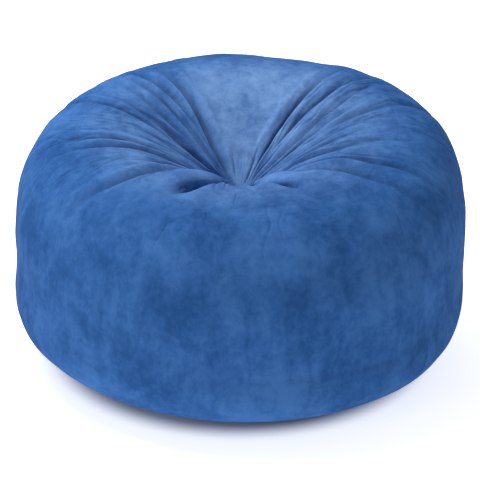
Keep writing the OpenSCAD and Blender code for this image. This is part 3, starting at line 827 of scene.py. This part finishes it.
def on_liner(theta, t):
    """The liner's surface, for its stitches."""
    return inside(theta, t, LINER_BASE_D, LINER_DEPTH)


liner_thread_top = stitch_row("liner_stitches_top", [(ring, T_TOP_SEAM)], 0, on_liner)
liner_thread_base = stitch_row("liner_stitches_base", [(ring, T_BASE_SEAM)], 0, on_liner)

# %% [markdown]
# ## The wound neck
# Under the gather, the bunched cloth is bound with strong thread: a helix of close turns.

# %% A tube along a path
def tube(name, path, toward, radius, sides=6):
    """Rings of points round each point of a path; toward is a direction across the path."""
    forward = np.gradient(path, axis=0)
    forward /= np.linalg.norm(forward, axis=-1, keepdims=True)
    side = toward - (toward * forward).sum(-1, keepdims=True) * forward
    side /= np.linalg.norm(side, axis=-1, keepdims=True)
    across = np.cross(forward, side)
    turn = np.arange(sides) * 2 * np.pi / sides
    spoke = np.cos(turn)[:, None] * side[:, None] + np.sin(turn)[:, None] * across[:, None]
    rings = path[:, None] + radius * spoke
    faces = grid_faces(len(path), sides, True)[:, ::-1].tolist()
    faces += [list(range(sides)), [len(path) * sides - 1 - k for k in range(sides)]]
    return mesh_piece(name, rings, faces)


WINDS, WIND_R = 5, 0.0008
turns = np.linspace(0, WINDS * 2 * np.pi, WINDS * 40)
wind_r = GATHER_R + COVER_T + WIND_R
wind_z = GATHER_H - NECK_L + 0.0025 + turns / (2 * np.pi) * 2 * WIND_R * 1.05
wind = np.stack([wind_r * np.cos(turns), wind_r * np.sin(turns),
                 wind_z + RISE * wind_r * np.sin(turns)], -1)
from_axis = np.stack([np.cos(turns), np.sin(turns), 0 * turns], -1)
thread_gather = tube("thread_round_neck", wind, from_axis, WIND_R)
print("neck thread", WINDS, "turns")

# %% [markdown]
# ## The zips
# A zip is two woven tapes, each with a row of coiled nylon sewn to its edge. The coil is a helix
# that is flattened to an oval, and its loops reach half way across to the other row.

# %% Place on a zip
zip_along = (zip_high - zip_low) / np.linalg.norm(zip_high - zip_low)
zip_middle = (zip_low + zip_high) / 2
zip_out = np.array([zip_along[1], -zip_along[0]])


def on_zip(theta, up, out):
    """A point on the cover's zip: an angle round the axis, a distance up the cloth and one outward."""
    r = zip_middle[0] + up * zip_along[0] + out * zip_out[0]
    z = zip_middle[1] + up * zip_along[1] + out * zip_out[1]
    return np.stack(np.broadcast_arrays(r * np.cos(theta), r * np.sin(theta), z + 0 * theta), -1)


def on_liner_zip(theta, up, out):
    """The same on the liner's zip, which runs round the upright side."""
    r = BODY_R - LINER_DEPTH + out + liner_dip(theta)
    return np.stack(np.broadcast_arrays(r * np.cos(theta), r * np.sin(theta), LINER_ZIP_H + up), -1)


def liner_dip(theta):
    """How far the liner lies inside its plain cylinder at its zip, where the cover is dented."""
    return grid_read(floor_height, theta, T_LINER_ZIP + 0 * theta)


# %% Tapes and coils
PITCH, WIRE = 0.0024, 0.0006
LINER_PITCH, LINER_WIRE = 0.0022, 0.0005


def zip_tape(name, place, half, up_low, up_high, thick, out_top, count=420):
    """A thin closed band: a rounded outline across the tape, carried round the zip's angle."""
    u = np.linspace(up_low, up_high, 9)
    outline = np.concatenate([np.stack([u, 0 * u + out_top], -1),
                              np.stack([u[::-1], 0 * u + out_top - thick], -1)])
    theta = np.linspace(np.pi / 2 - half, np.pi / 2 + half, count)
    points = place(theta[:, None], outline[None, :, 0], outline[None, :, 1])
    faces = grid_faces(count, len(outline), True).tolist()
    last = (count - 1) * len(outline)
    faces += [list(range(len(outline)))[::-1], [last + k for k in range(len(outline))]]
    across = np.broadcast_to(outline[:, 0], points.shape[:2])
    lengths = np.broadcast_to((theta * BODY_R)[:, None], points.shape[:2])
    return mesh_piece(name, points, faces, np.stack([lengths, across], -1))


def zip_coil(name, place, radius, half, side, gap, width, low, high, pitch, wire):
    """A helix flattened to an oval, leaning over towards the other row of the zip."""
    turns = int(2 * half * radius / pitch)
    phase = np.linspace(0, turns * 2 * np.pi, turns * 8 + 1)
    theta = np.pi / 2 - half + phase / (2 * np.pi) * pitch / radius
    up = side * (0.0006 + wire + (gap + width - 0.0006 - 2 * wire) * (1 - np.cos(phase)) / 2)
    out = (low + high) / 2 + ((high - low) / 2 - wire) * np.sin(phase)
    path = place(theta, up, out)
    core = place(theta, side * (gap + width) / 2 + 0 * up, (low + high) / 2 + 0 * out)
    return tube(name, path, path - core, wire, 4)


coil_half = ZIP_HALF - STOP_L / zip_middle[0]
tape_half = ZIP_HALF + TAPE_END / zip_middle[0]
tapes, coils = {}, {}
for side, word in ((1, "upper"), (-1, "lower")):
    edges = sorted((side * COIL_GAP, side * (COIL_GAP + TAPE_W)))
    tapes[word] = zip_tape("zip_tape_blue_" + word, on_zip, tape_half, *edges, TAPE_T, -COVER_T)
    coils[word] = zip_coil("zip_coil_blue_" + word, on_zip, zip_middle[0], coil_half, side, COIL_GAP, COIL_W,
                           -COVER_T, COIL_H - COVER_T, PITCH, WIRE)
liner_coil_half = LINER_ZIP_HALF - LINER_STOP_L / BODY_R
liner_tape_half = LINER_ZIP_HALF + LINER_TAPE_END / BODY_R
liner_tapes, liner_coils = {}, {}
for side, word in ((1, "upper"), (-1, "lower")):
    edges = sorted((side * LINER_GAP, side * (LINER_GAP + LINER_TAPE_W)))
    liner_tapes[word] = zip_tape("zip_tape_white_" + word, on_liner_zip, liner_tape_half, *edges,
                                 LINER_TAPE_T, -LINER_T)
    liner_coils[word] = zip_coil("zip_coil_white_" + word, on_liner_zip, BODY_R, liner_coil_half, side,
                                 LINER_GAP, LINER_COIL_W, -LINER_T, LINER_COIL_H - LINER_T, LINER_PITCH,
                                 LINER_WIRE)
print("coil loops", round(2 * coil_half * zip_middle[0] / PITCH), "a row")


# %% [markdown]
# ## The zips' metal
# Sliders, pull and stops are small castings whose shapes have to fit and move, so they stay as the
# CAD has them. A copy gets its split points joined and its sharp edges rounded, as a casting's are.

# %% Sliders, pull and stops
def cast_copy(node, name, edge):
    """A copy of a CAD node as a casting: its points are joined and its sharp edges rounded."""
    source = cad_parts[node]
    shape = bmesh.new()
    shape.from_mesh(source.data)
    bmesh.ops.remove_doubles(shape, verts=shape.verts, dist=0.000002)
    bmesh.ops.dissolve_limit(shape, angle_limit=math.radians(4), verts=shape.verts, edges=shape.edges)
    mesh = bpy.data.meshes.new(name)
    shape.to_mesh(mesh)
    shape.free()
    piece = bpy.data.objects.new(name, mesh)
    bpy.context.scene.collection.objects.link(piece)
    bevel = piece.modifiers.new("rounded", "BEVEL")
    bevel.width, bevel.segments, bevel.limit_method = edge, 2, "ANGLE"
    bevel.angle_limit = math.radians(35)
    mesh.polygons.foreach_set("use_smooth", np.ones(len(mesh.polygons), bool))
    piece.modifiers.new("even", "WEIGHTED_NORMAL").keep_sharp = False
    return piece


metal_parts = {node: cast_copy(node, "cast_" + node, edge) for node, edge in (
    ("zip_slider", 0.00030), ("zip_pull", 0.00030), ("zip_end_stops", 0.00020), ("zip_bottom_stop", 0.00020),
    ("liner_zip_slider", 0.00020), ("liner_zip_stops", 0.00015))}

# %% [markdown]
# ## Labels
# A care label of blank satin ribbon is caught in the base seam at the back, and a larger one is
# sewn to the liner over its zip.

# %% Ribbon labels
CARE_L = 0.052
label_u, label_v = np.meshgrid(np.linspace(0, 1, 25), np.linspace(0, 1, 31))
care_theta = math.radians(CARE_AT) + label_u * CARE_W / lower_edge(BASE_SEAM_AT)[0]
care_t = T_BASE_SEAM + 0.001 + label_v * (CARE_L - 0.001)
care_curl = 0.0060 * label_v ** 2 * (0.75 + 0.25 * np.cos(np.pi * label_u))
care_lift = 0.0004 + care_curl + 0.0008 * np.sin(7 * label_v)
care_points = dressed(care_theta, care_t, -care_lift)
care_label = mesh_piece("satin_care_label", care_points, grid_faces(31, 25, False),
                        np.stack([label_u * CARE_W, label_v * CARE_L], -1))
law_theta = np.pi / 2 + (label_u - 0.5) * LAW_W / (BODY_R - LINER_DEPTH)
law_up = LINER_GAP + LINER_COIL_W + LINER_TAPE_SHOW + LAW_GAP + label_v * LAW_H
law_t = T_LINER_ZIP + law_up
law_points = on_liner(law_theta, law_t) + 0.0005 * directions(law_theta, law_t)[2]
law_label = mesh_piece("satin_liner_label", law_points, grid_faces(31, 25, False),
                       np.stack([label_u * LAW_W, label_v * LAW_H], -1))

# %% [markdown]
# ## The foam
# The filling is furniture foam torn into lumps of one to four centimetres. Drawn one by one through
# the whole bag they would be hundreds of thousands, so the middle of the heap is one closed body
# and only its skin is lumps, each a low shape of a few faces, pulled about by its own numbers.

# %% Foam body and its crumbs
CRUMBS, CRUMB_SMALL, CRUMB_LARGE = 3600, 0.010, 0.021


def crumb_shape():
    """Points and faces of a coarse ball of triangles, which each lump of foam starts from."""
    shape = bmesh.new()
    bmesh.ops.create_icosphere(shape, subdivisions=1, radius=1)
    points = np.array([v.co[:] for v in shape.verts])
    faces = [[v.index for v in face.verts] for face in shape.faces]
    shape.free()
    return points, faces


def foam_piece():
    """The closed body of the heap, and lumps scattered evenly by area just under its surface."""
    draw = np.random.default_rng(11)
    turn = np.linspace(0, 2 * np.pi, LINER_AROUND, endpoint=False)
    sunk = 0.010
    theta, t = np.meshgrid(turn, np.linspace(0.0004, t_liner_end, 110))
    body = inside(theta, t, FOAM_BASE_D + 0.002, LINER_DEPTH + FOAM_DEPTH + sunk)
    rings = [np.stack([r * np.cos(turn), r * np.sin(turn), dimple_h - FOAM_DEPTH - sunk + 0 * turn
                       + RISE * r * np.sin(turn)], -1) for r in (dimple_r + sunk, 0.0005)]
    body = np.concatenate([body, np.stack(rings)])
    body_faces = grid_faces(len(body), LINER_AROUND, True).tolist()
    body_faces += [list(range(LINER_AROUND))[::-1],
                   [(len(body) - 1) * LINER_AROUND + k for k in range(LINER_AROUND)]]
    rows = np.linspace(T_BASE_SEAM * 0.2, t_liner_end, 4000)
    share = np.cumsum(np.interp(rows, along, line[:, 0]))
    where_t = np.interp(draw.random(CRUMBS), share / share[-1], rows)
    where_theta = draw.random(CRUMBS) * 2 * np.pi
    size = CRUMB_SMALL + (CRUMB_LARGE - CRUMB_SMALL) * draw.random(CRUMBS) ** 2
    shape, faces = crumb_shape()
    lumpy = shape[None] * (1 + 0.35 * draw.normal(size=(CRUMBS, len(shape), 1)).clip(-1.2, 1.2))
    turn_a = np.linalg.qr(draw.normal(size=(CRUMBS, 3, 3)))[0]
    lumpy = np.einsum("npk,nkj->npj", lumpy * (0.7 + 0.3 * draw.random((CRUMBS, 1, 3))), turn_a)
    lumpy = lumpy * size[:, None, None] / 2
    out = directions(where_theta, where_t)[2]
    top = inside(where_theta, where_t, FOAM_BASE_D, LINER_DEPTH + FOAM_DEPTH)
    reach = (lumpy * out[:, None]).sum(-1).max(-1)
    centres = top - reach[:, None] * out
    points = centres[:, None] + lumpy
    offset = body.shape[0] * body.shape[1]
    crumb_faces = [[v + offset + n * len(shape) for v in face] for n in range(CRUMBS) for face in faces]
    piece = mesh_piece("shredded_foam", np.concatenate([body.reshape(-1, 3), points.reshape(-1, 3)]),
                       body_faces + crumb_faces)
    tint = np.concatenate([np.full(offset, 0.5), np.repeat(draw.random(CRUMBS), len(shape))])
    layer = piece.data.attributes.new("tint", "FLOAT", "POINT")
    layer.data.foreach_set("value", tint.astype(np.float32))
    flat = np.concatenate([np.ones(len(body_faces), bool), np.zeros(len(crumb_faces), bool)])
    piece.data.polygons.foreach_set("use_smooth", flat)
    print("foam:", CRUMBS, "lumps on a body of", len(body_faces), "faces")
    return piece


foam = foam_piece()

# %% [markdown]
# ## Brushed suede
# Microsuede is a nap of very short fibres. Brushed one way it looks light and the other way dark,
# so a hand or a shipping carton leaves cloudy patches on it. Noise in three sizes gives the
# patches. Two numbers on each point paint light and shade: one picks the lighter tones of the seat,
# which are painted light on the top as well as nap, and the other paints shade into the hollows
# between the folds. The lamps do all other shading.

# %% Helpers for materials
def new_material(name):
    """An empty node material with its Principled shader and output."""
    material = bpy.data.materials.new(name)
    material.use_nodes = True
    nodes = material.node_tree.nodes
    nodes.clear()
    shader = nodes.new("ShaderNodeBsdfPrincipled")
    out = nodes.new("ShaderNodeOutputMaterial")
    material.node_tree.links.new(shader.outputs["BSDF"], out.inputs["Surface"])
    return material, shader


def add(material, kind, inputs=None, **settings):
    """Adds one node, sets its properties, and fills or links its inputs."""
    node = material.node_tree.nodes.new("ShaderNode" + kind)
    for key, value in settings.items():
        setattr(node, key, value)
    for key, value in (inputs or {}).items():
        if isinstance(value, bpy.types.NodeSocket):
            material.node_tree.links.new(value, node.inputs[key])
        else:
            node.inputs[key].default_value = value
    return node


def ramp(material, value, stops):
    """A colour ramp over a value, from a list of (position, colour)."""
    node = add(material, "ValToRGB", {"Fac": value})
    elements = node.color_ramp.elements
    while len(elements) < len(stops):
        elements.new(0.5)
    for element, (position, colour) in zip(elements, stops):
        element.position = position
        element.color = (*colour, 1)
    return node.outputs["Color"]


def noise(material, vector, scale, detail=4.0, roughness=0.55, distortion=0.0):
    """A cloud of noise, read at a vector, from 0 to 1."""
    node = add(material, "TexNoise", {"Vector": vector, "Scale": scale, "Detail": detail,
                                      "Roughness": roughness, "Distortion": distortion})
    return node.outputs["Fac"]


def maths(material, operation, a, b=0.0):
    """One sum between two numbers or sockets."""
    return add(material, "Math", {0: a, 1: b}, operation=operation).outputs[0]


def bump(material, shader, height, strength, distance):
    """Turns a height into a bump on the shader's normal."""
    node = add(material, "Bump", {"Height": height, "Strength": strength, "Distance": distance})
    material.node_tree.links.new(node.outputs["Normal"], shader.inputs["Normal"])


# %% Suede material
def blend_colours(material, share, one, two):
    """One colour where the share is 0, the other where it is 1."""
    node = add(material, "Mix", {"Factor": share}, data_type="RGBA")
    material.node_tree.links.new(one, node.inputs[6])
    material.node_tree.links.new(two, node.inputs[7])
    return node.outputs[2]


# Painted shade in the hollows between folds: lightness of the suede by how far the cloth stands up.
HOLLOW_SHADE = ((0.08, 0.22), (0.38, 0.70), (0.50, 0.92), (0.62, 1.0))    # by how far the cloth stands up


def suede(name, side, seat):
    """Nap in three tones of cloud, one set for the sides and a lighter one for the seat, which is painted
    light on the top as well as nap, with fibre bump.
    """
    material, shader = new_material(name)
    place = add(material, "TexCoord").outputs["Object"]
    seat_light_and_nap = add(material, "Attribute", attribute_name="seat_light_and_nap").outputs["Fac"]
    clouds = noise(material, place, 5.0, 4.0, 0.60, 0.4)
    down = add(material, "Mapping", {"Vector": place, "Scale": (1.0, 1.0, 0.30)}).outputs["Vector"]
    strokes = noise(material, down, 21.0, 6.0, 0.62, 0.6)
    brush = noise(material, place, 40.0, 5.0, 0.66, 0.3)
    fibres = noise(material, place, 800.0, 2.0)
    tone = maths(material, "MULTIPLY", clouds, 0.44)
    for layer, share in ((strokes, 0.26), (brush, 0.22), (fibres, 0.08)):
        tone = maths(material, "ADD", tone, maths(material, "MULTIPLY", layer, share))
    # The seat's lighter tones are painted light on the top as well as nap.
    colour = blend_colours(material, seat_light_and_nap, ramp(material, tone, list(zip((0.41, 0.50, 0.59), side))),
                           ramp(material, tone, list(zip((0.42, 0.50, 0.58), seat))))
    # Painted shade: the deeper the cloth lies in a hollow between folds, the darker it is made.
    raised = add(material, "Attribute", attribute_name="raised").outputs["Fac"]
    painted_hollow_shade = ramp(material, raised, [(at, (light,) * 3) for at, light in HOLLOW_SHADE])
    shade = maths(material, "MULTIPLY", painted_hollow_shade, 1.09)
    shaded = add(material, "VectorMath", {0: colour, "Scale": shade}, operation="SCALE").outputs["Vector"]
    material.node_tree.links.new(shaded, shader.inputs["Base Color"])
    shader.inputs["Roughness"].default_value = 0.95
    shader.inputs["Specular IOR Level"].default_value = 0.03
    shader.inputs["Sheen Weight"].default_value = 0.01
    shader.inputs["Sheen Roughness"].default_value = 0.5
    shader.inputs["Sheen Tint"].default_value = (0.70, 0.82, 1.0, 1)
    grain = maths(material, "ADD", maths(material, "MULTIPLY", fibres, 0.5), brush)
    bump(material, shader, grain, 0.35, 0.0014)
    return material


# The first tones are the side's, the second the seat's lighter ones, painted light on the top as well as nap.
blue_suede = suede("blue suede", [(0.018, 0.076, 0.240), (0.031, 0.109, 0.320), (0.048, 0.146, 0.390)],
                   [(0.068, 0.156, 0.375), (0.110, 0.222, 0.465), (0.152, 0.282, 0.540)])

# %% [markdown]
# ## The other finishes
# Thread has a twist, tape a weave, the coil is smooth nylon, the metal is nickel plated and a
# little worn, satin is glossy one way, cotton has a plain weave and foam is full of pores.

# %% Woven finishes, which follow the cloth's own UV
def woven(name, light, dark, per_metre, roughness, sheen, strength):
    """A plain weave: two sets of sine ridges at right angles, one over the other in turn."""
    material, shader = new_material(name)
    cloth_uv = add(material, "UVMap", uv_map="cloth").outputs["UV"]
    split = add(material, "SeparateXYZ", {"Vector": cloth_uv})
    rate = per_metre * 2 * math.pi
    one = maths(material, "SINE", maths(material, "MULTIPLY", split.outputs["X"], rate))
    two = maths(material, "SINE", maths(material, "MULTIPLY", split.outputs["Y"], rate))
    over = maths(material, "MULTIPLY", one, two)
    slubs = noise(material, add(material, "TexCoord").outputs["Object"], 60.0, 4.0)
    tone = maths(material, "ADD", maths(material, "MULTIPLY", over, 0.22), slubs)
    colour = ramp(material, tone, [(0.25, dark), (0.75, light)])
    material.node_tree.links.new(colour, shader.inputs["Base Color"])
    shader.inputs["Roughness"].default_value = roughness
    shader.inputs["Sheen Weight"].default_value = sheen
    bump(material, shader, over, strength, 0.0003)
    return material


def twisted(name, light, dark):
    """Thread: dark and light bands of noise stretched along it, with a soft sheen."""
    material, shader = new_material(name)
    place = add(material, "TexCoord").outputs["Object"]
    strands = noise(material, place, 1600.0, 3.0)
    tone = ramp(material, strands, [(0.3, dark), (0.7, light)])
    material.node_tree.links.new(tone, shader.inputs["Base Color"])
    shader.inputs["Roughness"].default_value = 0.6
    shader.inputs["Sheen Weight"].default_value = 0.3
    bump(material, shader, strands, 0.5, 0.0002)
    return material


def smooth_finish(name, light, dark, scale, roughness, metallic=0.0, coat=0.0):
    """A moulded or plated finish with faint clouds in its colour and its gloss."""
    material, shader = new_material(name)
    place = add(material, "TexCoord").outputs["Object"]
    clouds = noise(material, place, scale, 5.0)
    colour = ramp(material, clouds, [(0.3, dark), (0.7, light)])
    material.node_tree.links.new(colour, shader.inputs["Base Color"])
    gloss = add(material, "MapRange", {"Value": clouds, "To Min": roughness * 0.75,
                                       "To Max": roughness * 1.3})
    material.node_tree.links.new(gloss.outputs["Result"], shader.inputs["Roughness"])
    shader.inputs["Metallic"].default_value = metallic
    shader.inputs["Coat Weight"].default_value = coat
    bump(material, shader, clouds, 0.15, 0.0001)
    return material


def foam_finish():
    """Open-cell foam: each lump its own tint of cream, pink or pale blue, pitted with pores."""
    material, shader = new_material("torn foam")
    tint = add(material, "Attribute", attribute_name="tint").outputs["Fac"]
    place = add(material, "TexCoord").outputs["Object"]
    pores = add(material, "TexVoronoi", {"Vector": place, "Scale": 420.0}).outputs["Distance"]
    creams = [(0.0, (0.80, 0.72, 0.50)), (0.35, (0.86, 0.82, 0.68)), (0.6, (0.84, 0.80, 0.62))]
    base = ramp(material, tint, creams + [(0.8, (0.80, 0.62, 0.58)), (1.0, (0.62, 0.72, 0.80))])
    dark = ramp(material, pores, [(0.0, (0.35, 0.33, 0.28)), (0.45, (1, 1, 1))])
    pitted = add(material, "Mix", {"Factor": 0.7}, data_type="RGBA", blend_type="MULTIPLY")
    material.node_tree.links.new(base, pitted.inputs[6])
    material.node_tree.links.new(dark, pitted.inputs[7])
    material.node_tree.links.new(pitted.outputs[2], shader.inputs["Base Color"])
    shader.inputs["Roughness"].default_value = 0.95
    shader.inputs["Subsurface Weight"].default_value = 0.1
    shader.inputs["Subsurface Scale"].default_value = 0.004
    bump(material, shader, pores, 0.6, 0.0008)
    return material


finishes = {
    "suede": blue_suede,
    "cover_thread": twisted("blue thread", (0.030, 0.090, 0.270), (0.014, 0.046, 0.150)),
    "cover_tape": woven("blue zip tape", (0.050, 0.130, 0.390), (0.022, 0.066, 0.220), 900, 0.75, 0.2, 0.8),
    "cover_coil": smooth_finish("blue nylon", (0.030, 0.085, 0.270), (0.018, 0.055, 0.190), 80.0, 0.32,
                                coat=0.3),
    "zip_metal": smooth_finish("worn nickel", (0.60, 0.60, 0.61), (0.42, 0.42, 0.44), 300.0, 0.27, 1.0),
    "label_cloth": woven("white satin", (0.86, 0.86, 0.84), (0.74, 0.74, 0.73), 1500, 0.38, 0.4, 0.35),
    "liner_cloth": woven("natural cotton", (0.80, 0.76, 0.66), (0.64, 0.60, 0.50), 700, 0.9, 0.2, 0.9),
    "liner_thread": twisted("white thread", (0.82, 0.80, 0.76), (0.60, 0.58, 0.54)),
    "liner_tape": woven("white zip tape", (0.84, 0.84, 0.82), (0.66, 0.66, 0.64), 900, 0.75, 0.2, 0.8),
    "liner_coil": smooth_finish("white nylon", (0.82, 0.82, 0.80), (0.70, 0.70, 0.68), 80.0, 0.35, 0.0, 0.2),
    "foam": foam_finish(),
}

# %% [markdown]
# ## Put it together
# Each piece is named with the CAD node that it stands for. It takes that node's place, its finish
# and the body that it moves with. Only the two sliders and the pull move; the rest is the bag.

# %% Each finish and its pieces
dressed_pieces = {
    "suede": {"cover_top": cover_top, "cover_side_front": cover_front, "cover_side_back": cover_back,
              "cover_back_strip": cover_strip, "cover_base": cover_base},
    "cover_thread": {"thread_top_seam": thread_top, "thread_base_seam": thread_base,
                     "thread_side_seams": thread_sides, "thread_back_seams": thread_back,
                     "thread_gather": thread_gather},
    "cover_tape": {"zip_tape_" + word: piece for word, piece in tapes.items()},
    "cover_coil": {"zip_coil_" + word: piece for word, piece in coils.items()},
    "zip_metal": metal_parts,
    "label_cloth": {"care_label": care_label, "liner_label": law_label},
    "liner_cloth": {"liner_top": liner_top, "liner_side": liner_side, "liner_base": liner_base},
    "liner_thread": {"liner_thread_top": liner_thread_top, "liner_thread_base": liner_thread_base},
    "liner_tape": {"liner_zip_tape_" + word: piece for word, piece in liner_tapes.items()},
    "liner_coil": {"liner_zip_coil_" + word: piece for word, piece in liner_coils.items()},
    "foam": {"foam_fill": foam},
}
MOVING = {"zip_slider": "slider", "zip_pull": "pull", "liner_zip_slider": "liner_slider"}
for slot, nodes in dressed_pieces.items():
    for node, piece in nodes.items():
        piece.data.materials.clear()
        piece.data.materials.append(finishes[slot])
        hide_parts(node)
        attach(piece, MOVING.get(node, "bag"))
print(sum(len(nodes) for nodes in dressed_pieces.values()), "pieces")

# %% [markdown]
# ## The cut of the cloth
# The gathered top is cut wider than the bag, and the side halves are long bands.

# %% [markdown]
# ## Floor, light and camera
# A pale studio floor with painted light: it glows from just outside the base, which keeps the
# shadow short, and a white sky that lights less than it shows. The big soft lamp stands high on the
# left and the second one low on the left, so the fall-off to the right comes from the lamps and not
# from the suede's own colour. A third lamp lights the floor behind. The camera has a long lens.

# %% Floor, lights and camera
# Painted light: the floor's glow lifts the bag's shadow and lights the bag from below.
GLOW_FROM, GLOW_TO, GLOW = 0.585, 0.69, 0.70    # the floor's glow: where it starts, is full, its strength
SKY_LIGHT = 0.34                                # how strongly the sky lights; it shows as 1


def floor_with_painted_glow():
    """A pale floor with painted light: it glows from a little way outside the base, which lifts the shadow
    there.
    """
    material, shader = new_material("studio floor")
    place = add(material, "TexCoord").outputs["Object"]
    reach = add(material, "VectorMath", {0: place}, operation="LENGTH").outputs["Value"]
    glow = add(material, "MapRange", {"Value": reach, "From Min": GLOW_FROM, "From Max": GLOW_TO,
                                      "To Min": 0.0, "To Max": GLOW}, interpolation_type="SMOOTHSTEP")
    material.node_tree.links.new(glow.outputs["Result"], shader.inputs["Emission Strength"])
    shader.inputs["Emission Color"].default_value = (1, 1, 1, 1)
    shader.inputs["Base Color"].default_value = (0.93, 0.93, 0.93, 1)
    shader.inputs["Roughness"].default_value = 0.9
    return material


floor = mesh_piece("floor", np.array([[-30, -30, 0], [30, -30, 0], [30, 30, 0], [-30, 30, 0]], float),
                   np.array([[0, 1, 2, 3]]))
floor.data.materials.append(floor_with_painted_glow())

world = bpy.data.worlds.new("studio")
bpy.context.scene.world = world
world.use_nodes = True
world.node_tree.nodes["Background"].inputs["Color"].default_value = (1, 1, 1, 1)
seen = add(world, "LightPath").outputs["Is Camera Ray"]
sky = maths(world, "ADD", maths(world, "MULTIPLY", seen, 1 - SKY_LIGHT), SKY_LIGHT)
world.node_tree.links.new(sky, world.node_tree.nodes["Background"].inputs["Strength"])


def soft_light(name, place, aim, size, power):
    """A square lamp at a place, turned to face a point."""
    lamp = bpy.data.lights.new(name, "AREA")
    lamp.size, lamp.energy = size, power
    holder = bpy.data.objects.new(name, lamp)
    holder.location = place
    holder.rotation_euler = (Vector(aim) - Vector(place)).to_track_quat("-Z", "Y").to_euler()
    bpy.context.scene.collection.objects.link(holder)


MIDDLE = (0, 0, 0.4)
soft_light("key", (-1.6, 0.4, 4.5), MIDDLE, 1.5, 170)
soft_light("front", (-3.9, -3.7, 2.1), MIDDLE, 2.0, 42)
soft_light("back", (-1.0, 6.0, 3.0), (0, 3.0, 0), 4.0, 110)

camera_data = bpy.data.cameras.new("camera")
camera = bpy.data.objects.new("camera", camera_data)
bpy.context.scene.collection.objects.link(camera)
bpy.context.scene.camera = camera
camera_data.lens = 99.7
ELEVATION, DISTANCE = math.radians(24), 4.5
AIM = Vector((0.003, 0, 0.363))
camera.location = AIM + DISTANCE * Vector((0, -math.cos(ELEVATION), math.sin(ELEVATION)))
camera.rotation_euler = (AIM - camera.location).to_track_quat("-Z", "Y").to_euler()
bpy.context.scene.view_settings.view_transform = "Standard"
